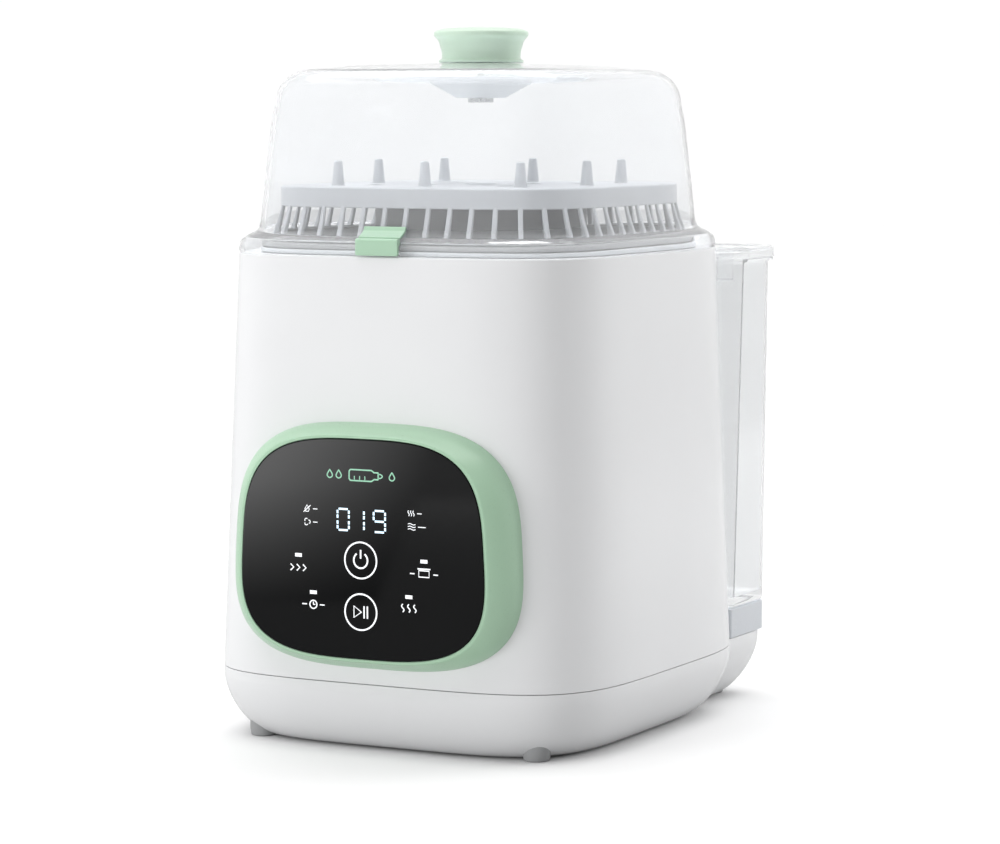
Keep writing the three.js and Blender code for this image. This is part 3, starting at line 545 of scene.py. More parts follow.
class Marks(Mesh):
    def line(self, points, width, closed=False):
        """A flat stroke of one width along points (x, z)."""
        count = len(points)
        sides = []
        for i in range(count):
            a = Vector(points[i - 1]) if closed or i else Vector(points[i])
            b = Vector(points[(i + 1) % count]) if closed or i < count - 1 else Vector(points[i])
            along = (b - a).normalized()
            across = Vector((-along.y, along.x)) * width / 2
            at = Vector(points[i])
            sides.append((at + across, at - across))
        rings = [[(p.x, MARK_Y0, p.y), (q.x, MARK_Y0, q.y), (q.x, MARK_Y1, q.y), (p.x, MARK_Y1, p.y)]
                 for p, q in sides]
        return self.loft(rings, closed)

    def ring(self, x, z, radius, width, start=0, end=360, sides=48):
        full = end - start >= 360
        points = arc(x, z, radius, radius, start, end, sides)
        return self.line(points[:-1] if full else points, width, full)

    def wave(self, x, z, length, height, width, upright=False):
        points = []
        for k in range(17):
            t = k / 16
            side = height * math.sin(2 * math.pi * t)
            run = length * (t - 0.5)
            points.append((x + side, z + run) if upright else (x + run, z + side))
        return self.line(points, width)


SEGMENTS = {"0": "abcdef", "1": "bc", "9": "abcdfg"}
DIGITS_Z, DIGIT_HIGH, DIGIT_WIDE, DIGIT_STEP = 134.4, 12.4, 7.6, 12.1
DIGIT_STROKE, CORNER_GAP, DASH_GAP = 1.15, 0.75, 0.7


def digit(marks, text, x, z=DIGITS_Z, wide=DIGIT_WIDE, high=DIGIT_HIGH):
    """A seven-segment figure whose upright bars are each two dashes."""
    mid, gap = z + high / 2, CORNER_GAP
    flat = {"a": z + high, "g": mid, "d": z}
    for name in SEGMENTS[text]:
        if name in flat:
            marks.line([(x + gap, flat[name]), (x + wide - gap, flat[name])], DIGIT_STROKE)
            continue
        at = x + wide if name in "bc" else x
        low, top = (mid + gap, z + high - gap) if name in "bf" else (z + gap, mid - gap)
        half = (low + top) / 2
        for a, b in ((low, half - DASH_GAP / 2), (half + DASH_GAP / 2, top)):
            marks.line([(at, a), (at, b)], DIGIT_STROKE)


figures = Marks()
for i, text in enumerate("019"):
    digit(figures, text, -15.4 + DIGIT_STEP * i - (2.0 if text == "1" else 0))
dress(figures.make("panel_figures"), "housing", "panel_black", MARK_DIGIT)

icons = Marks()
POWER_Z, PLAY_Z, BUTTON_R = 117.2, 86.8, 10.6
for z in (POWER_Z, PLAY_Z):
    icons.ring(0, z, BUTTON_R, 0.95, sides=72)
icons.ring(0, POWER_Z, 4.6, 1.0, 125, 415, 32)
icons.line([(0, POWER_Z + 1.0), (0, POWER_Z + 6.2)], 1.0)
icons.line([(-4.6, PLAY_Z - 3.4), (-4.6, PLAY_Z + 3.4), (0.4, PLAY_Z)], 0.9, closed=True)
for x in (2.2, 4.4):
    icons.line([(x, PLAY_Z - 3.6), (x, PLAY_Z + 3.6)], 0.9)
LAMPS = ((-42, 118), (-32, 96.5), (42, 119), (32, 97.7))
for x, z in LAMPS:
    icons.line([(x - 2.3, z), (x + 2.3, z)], 2.1)
# under the left lamps: quick-cycle arrows and a dial; under the right lamps: a box and steam
x, z = LAMPS[0][0], LAMPS[0][1] - 7.4
for step in (-4.2, 0, 4.2):
    icons.line([(x + step - 1.2, z - 1.9), (x + step + 0.9, z), (x + step - 1.2, z + 1.9)], 0.75)
x, z = LAMPS[1][0], LAMPS[1][1] - 7.2
icons.ring(x, z, 2.4, 0.7, sides=28)
icons.line([(x, z), (x, z + 1.7)], 0.6)
icons.line([(x, z), (x + 1.3, z)], 0.6)
for side in (-1, 1):
    icons.line([(x + side * 4.4, z), (x + side * 7.6, z)], 0.7)
x, z = LAMPS[2][0], LAMPS[2][1] - 6.8
icons.line([(x - 3.4, z - 2.3), (x + 3.4, z - 2.3), (x + 3.4, z + 1.4), (x - 3.4, z + 1.4)], 0.7, closed=True)
icons.line([(x - 4.2, z + 2.4), (x + 4.2, z + 2.4)], 0.8)
for side in (-1, 1):
    icons.line([(x + side * 6.2, z - 0.6), (x + side * 9.2, z - 0.6)], 0.7)
x, z = LAMPS[3][0], LAMPS[3][1] - 6.6
for step in (-4, 0, 4):
    icons.wave(x + step, z, 4.6, 0.8, 0.7, upright=True)
# small state marks beside the figures: no water, drying, steam, fresh air
x, z = -36.0, 145.8
icons.line([(x, z + 2.2), (x + 1.5, z - 0.3), (x + 0.9, z - 1.7), (x - 0.9, z - 1.7), (x - 1.5, z - 0.3)],
           0.5, closed=True)
icons.line([(x - 2.4, z - 2.0), (x + 2.4, z + 2.0)], 0.5)
icons.line([(x + 4, z), (x + 7, z)], 0.5)
x, z = -36.0, 138.0
for turn, (ax, az) in zip((0, 120, 240), arc(x, z, 1.1, 1.1, 0, 360, 3)):
    icons.ring(ax, az, 1.0, 0.5, turn - 80, turn + 100, 12)
icons.line([(x + 4, z), (x + 7, z)], 0.5)
x, z = 33.6, 146.6
for step in (-1.6, 0, 1.6):
    icons.wave(x + step, z, 3.2, 0.45, 0.45, upright=True)
icons.line([(x + 4, z), (x + 7, z)], 0.5)
x, z = 33.6, 138.8
for step in (-1.1, 0.4, 1.9):
    icons.wave(x + 0.4, z + step - 0.4, 5.0, 0.35, 0.45)
icons.line([(x + 4.6, z), (x + 9.6, z)], 0.5)
dress(icons.make("panel_icons"), "housing", "panel_black", MARK_WHITE)

# a lying bottle between droplets, as a plain ornament
emblem = Marks()
x, z = 1.5, 167
flask = [(-9, -3.2, 1.4), (6, -3.2, 1.6), (7.6, -2.0, 0.5), (10.4, -2.0, 0.4), (10.4, 2.0, 0.4),
         (7.6, 2.0, 0.5), (6, 3.2, 1.6), (-9, 3.2, 1.4)]
teat = [(10.4, -1.2), (12.0, -1.1, 0.8), (13.6, 0, 0.6), (12.0, 1.1, 0.8), (10.4, 1.2)]
emblem.line(rounded(flask, closed=True, steps=4), 0.8, closed=True)
emblem.line(rounded(teat, steps=4), 0.7)
for mark in (-5.5, -2, 1.5):
    emblem.line([(mark, -2.6), (mark, -0.4)], 0.6)
drop = [(0, 2.6), (1.7, -0.2), (1.3, -1.6), (0, -2.2), (-1.3, -1.6), (-1.7, -0.2)]
for side in (-22, -16, 19.5):
    emblem.line([(side + px, pz) for px, pz in smooth(drop + [drop[0]], 4)[:-1]], 0.7, closed=True)
emblem.verts = [(px + x, py, pz + z) for px, py, pz in emblem.verts]
dress(emblem.make("panel_emblem"), "housing", "panel_black", MARK_GREEN)

# ---- Wash tub ---------------------------------------------------------------------------------
TUB_FLOOR, TUB_RIM = 170, cad("wash_tub")[1].z
TUB_T = 2.5
TUB_FOOT = TUB_HALF - 3    # the tub narrows downwards
SUMP_HALF, SUMP_FLOOR = 42, 140
rows = rounded([(TUB_HALF + 3.8, TUB_RIM, 0.8), (TUB_HALF + 3.8, TOP_Z + 0.3, 0.3), (TUB_HALF, TOP_Z + 0.3),
                (TUB_FOOT, TUB_FLOOR + 12, 9), (TUB_FOOT - 11, TUB_FLOOR, 5), (SUMP_HALF, TUB_FLOOR),
                (SUMP_HALF, SUMP_FLOOR, 4), (6, SUMP_FLOOR), (6, SUMP_FLOOR + 3),
                (SUMP_HALF - TUB_T, SUMP_FLOOR + 3, 4), (SUMP_HALF - TUB_T, TUB_FLOOR + TUB_T, 2),
                (TUB_FOOT - 13, TUB_FLOOR + TUB_T, 5), (TUB_FOOT - TUB_T, TUB_FLOOR + 13, 9),
                (TUB_HALF - TUB_T, TUB_RIM - 2), (TUB_HALF - TUB_T, TUB_RIM, 0.6)], closed=True)
rings = []
for half, z in rows:
    points = circle(half, sides=SIDES) if half < SUMP_HALF + 3 else squircle(half)
    rings.append([(x, y, z) for x, y in points])
dress(Mesh().loft(rings, closed=True).make("wash_tub_look"), "housing", "frosted", FROSTED, "wash_tub")
gasket_low, gasket_high = cad("tub_gasket")
profile = rounded([(TUB_HALF - 2, gasket_low.z, 0.6), (TUB_HALF + 3.6, gasket_low.z, 0.6),
                   (TUB_HALF + 3.6, gasket_high.z, 1.2), (TUB_HALF - 2, gasket_high.z, 1.2)], closed=True)
gasket = Mesh().shell(profile, closed=True).make("tub_gasket_look")
dress(gasket, "housing", "rubber_grey", RUBBER, "tub_gasket")

# ---- Bottle rack ------------------------------------------------------------------------------
RACK_Z = 199
RACK_IN, RACK_OUT, RACK_T = 88, 96, 5
BARS_X, BARS_Y = (-58, 0, 58), (-62, -20, 20, 62)
POST_TOP = RACK_Z + 58
rack = Mesh()
rack.shell(rounded([(RACK_IN, RACK_Z, 1), (RACK_OUT, RACK_Z, 1), (RACK_OUT, RACK_Z + RACK_T, 1.2),
                    (RACK_IN, RACK_Z + RACK_T, 1.2)], closed=True), closed=True)
for y in BARS_Y:
    rack.block((-92, y - 2, RACK_Z + 0.5), (92, y + 2, RACK_Z + 4.5), 0.7)
post = rounded([(ON_AXIS, RACK_Z + 1), (5, RACK_Z + 1), (5, RACK_Z + RACK_T), (3.4, POST_TOP, 2.6),
                (ON_AXIS, POST_TOP)])
for x in BARS_X:
    rack.block((x - 2, -98, RACK_Z + 0.5), (x + 2, 98, RACK_Z + 4.5), 0.7)
    for y in (BARS_Y[0], BARS_Y[-1]):
        rack.lathe(post, x, y, sides=24)
leg = [(ON_AXIS, TUB_FLOOR + 4.2), (3.4, TUB_FLOOR + 4.2), (3.4, RACK_Z + 1), (ON_AXIS, RACK_Z + 1)]
for x in (BARS_X[0], BARS_X[-1]):
    for y in (BARS_Y[0], BARS_Y[-1]):
        rack.lathe(leg, x, y, sides=20)
dress(rack.make("bottle_rack_look"), "bottle_rack", "frosted", RACK_WHITE, "bottle_rack")

# ---- Upper rack -------------------------------------------------------------------------------
BAND_HALF, BAND_T, BAND_Z0, BAND_Z1 = 101.5, 2.4, 320.7, 333.0
RIM_HALF, RIM_WIDE, RIM_Z = 107.4, 5, cad("upper_rack")[0].z
SLATS, SLAT_HALF, CHAMFER = 52, 1.5, 0.45
upper = Mesh()
upper.shell(rounded([(BAND_HALF - BAND_T, BAND_Z0, 0.6), (BAND_HALF, BAND_Z0, 0.8), (BAND_HALF, BAND_Z1, 1.3),
                     (8, BAND_Z1), (8, BAND_Z1 - BAND_T), (BAND_HALF - BAND_T, BAND_Z1 - BAND_T, 1.0)],
                    closed=True), closed=True)
upper.lathe(rounded([(ON_AXIS, BAND_Z1 - 2.2), (9.5, BAND_Z1 - 2.2), (9.5, BAND_Z1 + 0.6, 0.6),
                     (ON_AXIS, BAND_Z1 + 0.6)]), sides=32)
deck = upper.make("upper_rack_look")
holes = Mesh()
for i in range(4):
    for r in (34, 66):
        first = len(holes.verts)
        holes.block((-11, r - 4, BAND_Z1 - 9), (11, r + 4, BAND_Z1 + 3), 2.4)
        holes.turn(first, Matrix.Rotation(math.radians(90 * i + 45), 4, "Z"))
carve(deck, holes.make("deck_holes"))
lower = Mesh()
lower.shell(rounded([(RIM_HALF - RIM_WIDE, RIM_Z, 0.5), (RIM_HALF, RIM_Z, 0.5), (RIM_HALF, RIM_Z + 2, 0.7),
                     (RIM_HALF - RIM_WIDE, RIM_Z + 2, 0.7)], closed=True), closed=True)


def band_place(fraction):
    """Point and outward direction a fraction of the way round the band."""
    walk = squircle(BAND_HALF, sides=720)
    walk.append(walk[0])
    lengths = [0]
    for a, b in zip(walk, walk[1:]):
        lengths.append(lengths[-1] + math.dist(a, b))
    k = next(i for i, run in enumerate(lengths) if run >= fraction * lengths[-1])
    a, b = walk[k - 1], walk[k]
    return b[0], b[1], math.atan2(-(b[0] - a[0]), b[1] - a[1])


lean = RIM_HALF - BAND_HALF
for i in range(SLATS):
    x, y, facing = band_place((i + 0.5) / SLATS)
    first = len(lower.verts)
    rings = []
    for inner, outer, z in ((-2.2, -0.3, BAND_Z0 + 3), (-1.4, 0.3, BAND_Z0 - 1),
                            (lean - 4.2, lean - 1.0, RIM_Z + 4), (lean - 4.6, lean - 0.5, RIM_Z + 1)):
        corners = ((inner, -1, 0, 1), (inner, -1, 1, 0), (outer, -1, -1, 0), (outer, -1, 0, 1),
                   (outer, 1, 0, -1), (outer, 1, -1, 0), (inner, 1, 1, 0), (inner, 1, 0, -1))
        rings.append([(x0 + CHAMFER * dx, SLAT_HALF * end + CHAMFER * dy, z) for x0, end, dx, dy in corners])
    lower.loft(rings)
    lower.turn(first, Matrix.Translation((x, y, 0)) @ Matrix.Rotation(facing, 4, "Z"))
PEGS = ((-62, -68), (0, -72), (62, -68), (-72, 0), (72, 0), (-62, 68), (0, 72), (62, 68))
PEG_TOP = BAND_Z1 + 15
peg = rounded([(ON_AXIS, BAND_Z1 - 1), (4.6, BAND_Z1 - 1), (3.8, BAND_Z1 + 1.2, 1), (2.5, PEG_TOP, 2.0),
               (ON_AXIS, PEG_TOP)])
for x, y in PEGS:
    lower.lathe(peg, x, y, sides=20)
slats = lower.make("slats")
bm = bmesh.new()
bm.from_mesh(deck.data)
bm.from_mesh(slats.data)
bm.to_mesh(deck.data)
bm.free()
bpy.data.objects.remove(slats)
dress(deck, "upper_rack", "frosted", RACK_WHITE, "upper_rack")

# a grey cup under the deck; its dark grey is partly painted shade, put where the slats show dark between them
core_low, core_high = cad("rack_core")
profile = rounded([(ON_AXIS, core_high.z - 13), (63, core_high.z - 13, 2), (63, core_low.z),
                   (65, core_low.z, 0.7), (65, core_high.z, 4), (ON_AXIS, core_high.z)])
core = Mesh().lathe(profile, sides=96).make("rack_core_look")
dress(core, "upper_rack", "rack_grey", RACK_SHADE_GREY, "rack_core")

# ---- Lid --------------------------------------------------------------------------------------
LID_Z, DOME_TOP = (corner.z for corner in cad("lid_dome"))
DOME_WALL = 2.4


def dome_profile(t):
    """From the flange up to the hole under the knob; t is the depth in from the outside."""
    side = smooth([(122.9 - t, LID_Z), (123 - t, 297), (121.6 - t, 300.8), (117.8 - t, 303.9 - t * 0.7),
                   (114.2 - t, 306.0 - t), (112.3 - t, 310 - t), (111.4 - t, 318), (109 - t, 343),
                   (106.3 - t, 370), (104.3 - t, 382)], 4)
    shoulder = arc(86, 383.5, 18 - t, 19.5 - t, 6, 84, 10)
    return side + shoulder + [(66, 405.2 - t), (48, 406.2 - t), (24, 406.8 - t), (5, DOME_TOP - t)]


rings = [[(x, y, z) for x, y in squircle(half, back=BACK_Y)] for half, z in dome_profile(0)]
rings += [[(x, y, z) for x, y in squircle(half, back=BACK_Y - DOME_WALL)]
          for half, z in reversed(dome_profile(DOME_WALL))]
dome = Mesh().loft(rings, closed=True).make("lid_dome_look")
latch_low, latch_high = cad("lid_latch")
PIN_Y, PIN_Z = latch_low.y + 2, latch_high.z - 2
LATCH_HALF = 14
SEAT_HALF = LATCH_HALF + 0.4
# two cutters, because one that crosses itself would cut everything away
seats = [Mesh().block((-SEAT_HALF, PIN_Y - 8, z0), (SEAT_HALF, PIN_Y + deep, z1), 0.3).make("latch_seat")
         for z0, z1, deep in ((LID_Z - 4, PIN_Z - 2.4, 1.2), (PIN_Z - 2.7, PIN_Z + 2.6, 2.3))]
carve(dome, *seats)
dress(dome, "lid", "dome_clear", DOME_CLEAR, "lid_dome")

boss_low, boss_high = cad("lid_boss")
BOLT_R = 5.2
rim_z = boss_low.z + 12.6
profile = rounded([(BOLT_R, boss_low.z), (15.5, boss_low.z, 1.5), (31, boss_low.z + 10.4, 2), (32, rim_z, 1),
                   (63, rim_z, 1.2), (66, rim_z + 1.6, 0.8), (66, boss_high.z, 0.6), (BOLT_R, boss_high.z)],
                  closed=True)
boss = Mesh().lathe(profile, closed=True, sides=96)
dress(boss.make("lid_boss_look"), "lid", "frosted", BOSS_FROST, "lid_boss")

KNOB_Z, KNOB_TOP = (corner.z for corner in cad("lid_knob"))
profile = rounded([(ON_AXIS, KNOB_Z + 6), (3, KNOB_Z + 6), (3, KNOB_Z), (26, KNOB_Z, 0.5),
                   (26, KNOB_Z + 1.3, 0.5), (24.1, KNOB_Z + 2.4, 1.4), (24.3, 414, 8),
                   (26.2, 420.6, 6), (28.9, 423.6, 1.6), (29, 426.4, 1.8),
                   (24, 428.0, 6), (10, 428.9, 20), (ON_AXIS, KNOB_TOP)], steps=6)
dress(Mesh().lathe(profile, sides=96).make("lid_knob_look"), "lid", "knob_green", KNOB_GREEN, "lid_knob")

strip = rounded([(latch_low.y, latch_low.z, 0.8), (latch_low.y, latch_high.z, 1.9),
                 (latch_high.y, latch_high.z, 1.9), (latch_high.y, PIN_Z - 1.9, 1.8),
                 (PIN_Y + 0.2, PIN_Z - 2.4, 0.6), (PIN_Y + 0.2, latch_low.z, 0.8)], closed=True)
latch = Mesh().loft([[(x, PIN_Y + (y - PIN_Y) * tight, PIN_Z + (z - PIN_Z) * tight) for y, z in strip]
                     for x, tight in ((-LATCH_HALF, 0.93), (0.5 - LATCH_HALF, 1), (LATCH_HALF - 0.5, 1),
                                      (LATCH_HALF, 0.93))])
dress(latch.make("lid_latch_look"), "latch", "latch_green", LATCH_GREEN, "lid_latch")
# the green hinge leaf that carries the latch lies on the flange
LEAF_HALF = LATCH_HALF - 0.2
leaf = rounded([(-128.7, 304.5, 0.5), (-125.0, 306.5, 2), (-122.6, 308.2, 1.5), (-121.5, 310.7, 0.6),
                (-120.3, 310.4, 0.5), (-121.3, 307.6, 2), (-124.6, 305.0, 1), (-128.2, 303.5, 0.4)],
               closed=True, steps=3)
leaf = Mesh().loft([[(x, y, z) for y, z in leaf] for x in (-LEAF_HALF, LEAF_HALF)])
dress(leaf.make("latch_leaf"), "lid", "latch_green", LATCH_GREEN)

# ---- Tanks ------------------------------------------------------------------------------------
tank_low, tank_high = cad("clean_tank")
TX0, TX1, TY0, TY1 = tank_low.x, 117, 125, 185
TZ0, TZ1 = tank_low.z, tank_high.z
TANK_T, TANK_R = 2.2, 12
NARROW_X, NARROW_Y = 1.7, 2.0      # how much the tank narrows down to its floor
LIP = 3.5                          # how far the lid reaches past the wall
HINGE_X, HINGE_Z, KNUCKLE_R, BORE_R = 5.4, TZ1 + 3.5, 3.1, 2.1
VALVE = centre("clean_tank_valve")[:2]


def tank_outline(inset, z, lip=0.0):
    """The tank narrows downwards; the front outer corner is a chamfer that fades out downwards."""
    down = 1 - (z - TZ0) / (TZ1 - TZ0)
    x1 = TX1 - NARROW_X * down - inset + lip
    y1 = TY1 - NARROW_Y * down - inset + lip
    x0, y0 = TX0 + inset, TY0 + inset
    cut = 3 + 8.5 * (1 - down)
    points = round_rect(x0, x1, y0, y1, (3, 2, max(2, TANK_R - inset), 3))
    points[9:18] = [(x1 - cut + cut * k / 8, y0 + cut * k / 8) for k in range(9)]
    return points


def tank(side, name, body, node):
    rings = []
    for inset, z, lip in ((2.2, TZ0, 0), (0.9, TZ0 + 0.5, 0), (0.2, TZ0 + 1.8, 0), (0, TZ0 + 4, 0),
                          (0, TZ1 - 3.4, 0), (0, TZ1 - 2.4, 0.6), (0, TZ1 - 2.0, 2.2), (0, TZ1 - 0.4, 2.5),
                          (0.3, TZ1, 2.4), (TANK_T - 0.3, TZ1, 0), (TANK_T, TZ1 - 0.5, 0),
                          (TANK_T, TZ0 + 9, 0), (TANK_T + 0.6, TZ0 + 6.6, 0), (TANK_T + 2.2, TZ0 + 6, 0)):
        rings.append([(side * x, y, z) for x, y in tank_outline(inset, z, lip)])
    obj = Mesh().loft(rings).make(name)
    if side > 0:
        bore = [(ON_AXIS, TZ0 - 4), (4, TZ0 - 4), (4, TZ0 + 9), (ON_AXIS, TZ0 + 9)]
        carve(obj, Mesh().lathe(bore, *VALVE, sides=32).make("bore"))
    dress(obj, body, "tank_clear", TANK_CLEAR, node)


def tank_lid(side, name, body, node):
    low, high = cad(node)
    z0, z1 = max(low.z, TZ1 + 0.3), high.z
    rings = []
    for inset, z in ((0, z0), (0, z1 - 2.6), (0.5, z1 - 1.0), (1.6, z1 - 0.2), (3.2, z1), (6.0, z1 - 0.1),
                     (7, z1 - 0.6), (7, z1 - 2.6), (3.4, z1 - 2.8), (2.2, z1 - 3.6), (2.2, z0 + 0.2),
                     (1.8, z0)):
        x0 = HINGE_X + (0 if inset < 1.7 else inset - 1.6)
        points = round_rect(x0, TX1 + LIP - inset, TY0 - 0.2 + inset, TY1 + LIP - inset,
                            (1, 14 - inset, 14 - inset, 1))
        rings.append([(side * x, y, z) for x, y in points])
    lid = Mesh().loft(rings, closed=True)
    panel = round_rect(HINGE_X + 4, TX1 - 2.5, TY0 + 5.8, TY1 - 2.5, (1, 8, 8, 1))
    lid.loft([[(side * x, y, z) for x, y in panel] for z in (z1 - 2.6, z1 - 0.9)])
    ya, yb = TY0 + 12, TY1 - 12
    lid.loft([[(side * x, y, z) for x, z in circle(r, HINGE_X, HINGE_Z, 28)]
              for r, y in ((KNUCKLE_R, ya), (KNUCKLE_R, yb), (BORE_R, yb), (BORE_R, ya))], closed=True)
    dress(lid.make(name), body, "tank_clear", TANK_CLEAR, node)


def tank_clip(name, body, node):
    low, high = cad(node)
    clip = Mesh().block(low + Vector((0, 0, 1)), (high.x, high.y - 0.6, high.z), 0.5)
    clip.block(low, (high.x, high.y, low.z + 2.2), 0.5)
    dress(clip.make(name), body, "tank_clear", TANK_CLEAR, node)


for side, word in ((1, "clean"), (-1, "waste")):
    tank(side, f"{word}_tank_look", f"{word}_tank", f"{word}_tank")
    tank_lid(side, f"{word}_tank_lid_look", f"{word}_lid", f"{word}_tank_lid")
    tank_clip(f"{word}_tank_clip_look", f"{word}_clip", f"{word}_tank_clip")

rings = []
for inset, z in ((3, dock_low.z), (0, dock_low.z), (0, dock_high.z - 1.0), (0.3, dock_high.z - 0.3),
                 (1, dock_high.z)):
    points = round_rect(-dock_high.x + inset, dock_high.x - inset, dock_low.y + inset * 0.4,
                        dock_high.y - inset, (2, 2, 15 - inset, 15 - inset))
    rings.append([(x, y, z) for x, y in points])
dock = Mesh().loft(rings).make("tank_dock_look")
under = Mesh().block((-dock_high.x + 3, dock_low.y + 3, SEAM_Z - 3),
                     (dock_high.x - 3, dock_high.y - 3, dock_high.z - 3), 2).make("under")
bore = [(ON_AXIS, 50), (6, 50), (6, 70), (ON_AXIS, 70)]
bores = [Mesh().lathe(bore, side * VALVE[0], VALVE[1], sides=32).make("bore") for side in (1, -1)]
carve(dock, under, *bores)
dress(dock, "housing", "case_white", DOCK, "tank_dock")

# ---- Mains inlet ------------------------------------------------------------------------------
inlet = Mesh().block(inlet_low, inlet_high, 1.0).make("power_inlet_look")
INLET_WALL = 2.6
well = Mesh().block((inlet_low.x + INLET_WALL, inlet_low.y + 5, inlet_low.z + INLET_WALL),
                    (inlet_high.x - INLET_WALL, inlet_high.y + 9, inlet_high.z - INLET_WALL),
                    2.2).make("well")
carve(inlet, well)
pins = Mesh()
mid_x, _, mid_z = centre("power_inlet")
for x in (mid_x - 6, mid_x + 6):
    pins.block((x - 1, inlet_low.y + 4, mid_z - 3), (x + 1, inlet_high.y - 5, mid_z + 3), 0.5)
dress(inlet, "housing", "part_dark", PART_DARK, "power_inlet")
dress(pins.make("inlet_pins"), "housing", "steel", STEEL)

# ---- Carried CAD nodes ------------------------------------------------------------------------
CARRIED = (
    ("part_grey", PART_GREY, ("chassis", "drain_filter", "spray_hub", "spray_arm", "pump_impeller",
                              "fan_impeller", "clean_tank_valve")),
    ("part_dark", PART_DARK, ("display_module", "pump_body", "drain_pump", "fan_housing", "fan_duct")),
    ("steel", STEEL, ("base_screw_1", "base_screw_2", "base_screw_3", "base_screw_4", "heater_plate",
                      "pump_motor", "fan_motor", "clean_lid_pin", "waste_lid_pin", "knob_screw",
                      "latch_pin")),
    ("board_green", BOARD, ("control_board", "power_board")),
    ("rubber_grey", RUBBER, ("drain_hose",)),
)
for slot, material, names in CARRIED:
    for node in names:
        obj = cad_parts[node]
        obj.data.materials.clear()
        obj.data.materials.append(material)

# ---- Floor, light and camera ------------------------------------------------------------------
FLOOR_SEEN, FLOOR_LIGHTS = 0.94, 0.62
FLOOR_R = 9000
floor_mat = plastic("floor", (FLOOR_SEEN,) * 3, rough=0.8, spread=0.002, bump=0.0, specular=0.1)
tree = floor_mat.node_tree
link = tree.links.new
# the floor is paler to the camera than to what it lights, so the underside keeps its shade
path = shader_node(tree, "LightPath")
seen = shader_node(tree, "Mix", {"A": (FLOOR_LIGHTS,) * 3 + (1,)}, data_type="RGBA")
link(path.outputs["Is Camera Ray"], seen.inputs["Factor"])
link(tree.nodes["Color Ramp"].outputs["Color"], seen.inputs["B"])
link(seen.outputs["Result"], tree.nodes["Principled BSDF"].inputs["Base Color"])
floor = Mesh().loft([[(x, y, z) for x, y in circle(FLOOR_R, sides=96)] for z in (-4, 0)]).make("floor")
floor.data.materials.append(floor_mat)
floor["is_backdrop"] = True

scene = bpy.context.scene
scene.view_settings.view_transform = "Standard"
world = bpy.data.worlds.new("studio")
scene.world = world
world.use_nodes = True
tree = world.node_tree
link = tree.links.new
background = tree.nodes["Background"]
WORLD_LIGHTS, WORLD_SEEN = 0.34, 1.02
GAP_AZIMUTH, GAP_CORE, GAP_RIM = math.radians(52), 0.98, 0.72
path = shader_node(tree, "LightPath")
level = shader_node(tree, "MapRange", {"To Min": WORLD_LIGHTS, "To Max": WORLD_SEEN})
# what gloss mirrors is white all round but for a dark gap in front of the right front corner
place = shader_node(tree, "TexCoord")
ahead = shader_node(tree, "VectorMath", {1: (math.sin(GAP_AZIMUTH), -math.cos(GAP_AZIMUTH), 0)},
                    operation="DOT_PRODUCT")
link(place.outputs["Generated"], ahead.inputs[0])
bright = shader_node(tree, "MapRange", {"From Min": GAP_CORE, "From Max": GAP_RIM},
                     interpolation_type="SMOOTHSTEP")
link(ahead.outputs["Value"], bright.inputs["Value"])
mirrored = shader_node(tree, "Math", operation="MULTIPLY")
link(path.outputs["Is Glossy Ray"], mirrored.inputs[0])
link(bright.outputs["Result"], mirrored.inputs[1])
seen = mirrored.outputs["Value"]
for ray in ("Is Transmission Ray", "Is Camera Ray"):
    either = shader_node(tree, "Math", operation="MAXIMUM")
    link(seen, either.inputs[0])
    link(path.outputs[ray], either.inputs[1])
    seen = either.outputs["Value"]
link(seen, level.inputs["Value"])
link(level.outputs["Result"], background.inputs["Strength"])
background.inputs["Color"].default_value = (1, 1, 1, 1)


def area(name, azimuth, distance, height, size, power, aim=(0, 0, 0.2)):
    """Soft box; azimuth 0 is in front of the panel and 90 on its right."""
    data = bpy.data.lights.new(name, "AREA")
    data.shape = "RECTANGLE"
    data.size, data.size_y = size
    data.energy = power
    lamp = bpy.data.objects.new(name, data)
    a = math.radians(azimuth)
    lamp.location = (math.sin(a) * distance, -math.cos(a) * distance, height)
    lamp.rotation_mode = "QUATERNION"
    lamp.rotation_quaternion = (Vector(aim) - Vector(lamp.location)).to_track_quat("-Z", "Y")
    lamp.visible_camera = lamp.visible_transmission = lamp.visible_glossy = False
    scene.collection.objects.link(lamp)


area("key_left", -24, 1.9, 0.42, (0.9, 0.8), 8.5)
area("low_front", -26, 1.5, 0.11, (0.8, 0.2), 3, aim=(0, -0.1, 0.03))
area("side_right", 139, 1.8, 0.55, (0.9, 1.1), 14)
area("fill_left", -84, 1.9, 0.5, (0.9, 1.0), 4)

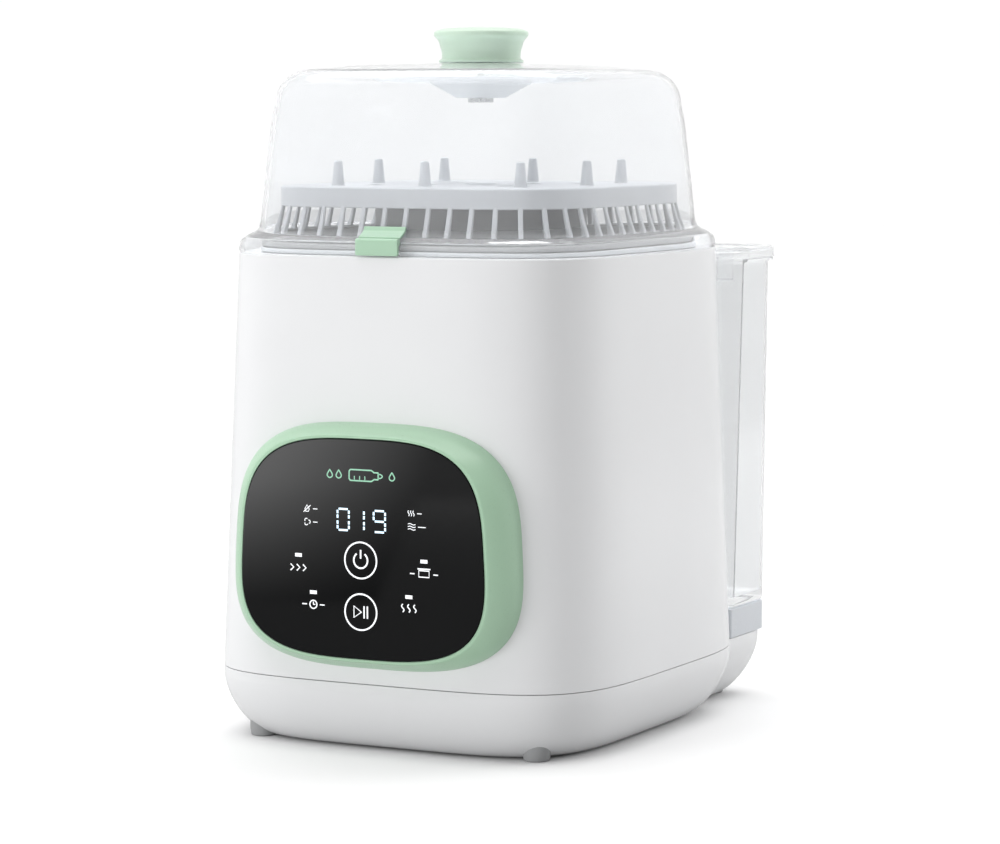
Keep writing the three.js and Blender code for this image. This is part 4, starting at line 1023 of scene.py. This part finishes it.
sky_data = bpy.data.lights.new("sky", "SUN")
sky_data.energy = 2.5
sky_data.angle = math.radians(75)
sky = bpy.data.objects.new("sky", sky_data)
sky.rotation_euler = (math.radians(-6), math.radians(-8), 0)
scene.collection.objects.link(sky)

# A slanting card on the floor that only the panel glass mirrors, brighter away from its near edge
card_mesh = bpy.data.meshes.new("card")
CARD_WIDE, CARD_LONG = 1.2, 1.9
card_mesh.from_pydata([(0, 0, 0), (CARD_WIDE, 0, 0), (CARD_WIDE, CARD_LONG, 0), (0, CARD_LONG, 0)], [],
                      [(0, 1, 2, 3)])
card = bpy.data.objects.new("card", card_mesh)
card.location = (-0.301, -0.722, 0.003)
card.rotation_euler = (0, 0, math.radians(153.8))
scene.collection.objects.link(card)
card_mat, tree, link = new_material("card")
tree.nodes.remove(tree.nodes["Principled BSDF"])
shine = shader_node(tree, "Emission")
link(shine.outputs["Emission"], tree.nodes["Material Output"].inputs["Surface"])
place = shader_node(tree, "TexCoord")
axes = shader_node(tree, "SeparateXYZ")
link(place.outputs["Object"], axes.inputs["Vector"])
both = shader_node(tree, "Math", operation="MULTIPLY")
for socket, axis, end, low, high in zip(both.inputs, "XY", (0.17, 0.9), (1.5, 0.1), (11, 1)):
    ramp = shader_node(tree, "MapRange", {"From Max": end, "To Min": low, "To Max": high})
    link(axes.outputs[axis], ramp.inputs["Value"])
    link(ramp.outputs["Result"], socket)
link(both.outputs["Value"], shine.inputs["Strength"])
card_mesh.materials.append(card_mat)
card.visible_camera = card.visible_diffuse = card.visible_transmission = card.visible_shadow = False
only_glass = bpy.data.collections.new("mirrors_the_card")
only_glass.objects.link(panel_glass)
card.light_linking.receiver_collection = only_glass
card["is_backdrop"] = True

camera_data = bpy.data.cameras.new("camera")
camera_data.lens = 126.07
camera_data.sensor_width = 36
camera = bpy.data.objects.new("camera", camera_data)
HEADING, PITCH = math.radians(27.38), math.radians(5.183)
camera.location = (1.00325, -1.93063, 0.38184)
camera.rotation_euler = (math.pi / 2 - PITCH, 0, HEADING)
scene.collection.objects.link(camera)
scene.camera = camera

low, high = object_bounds()
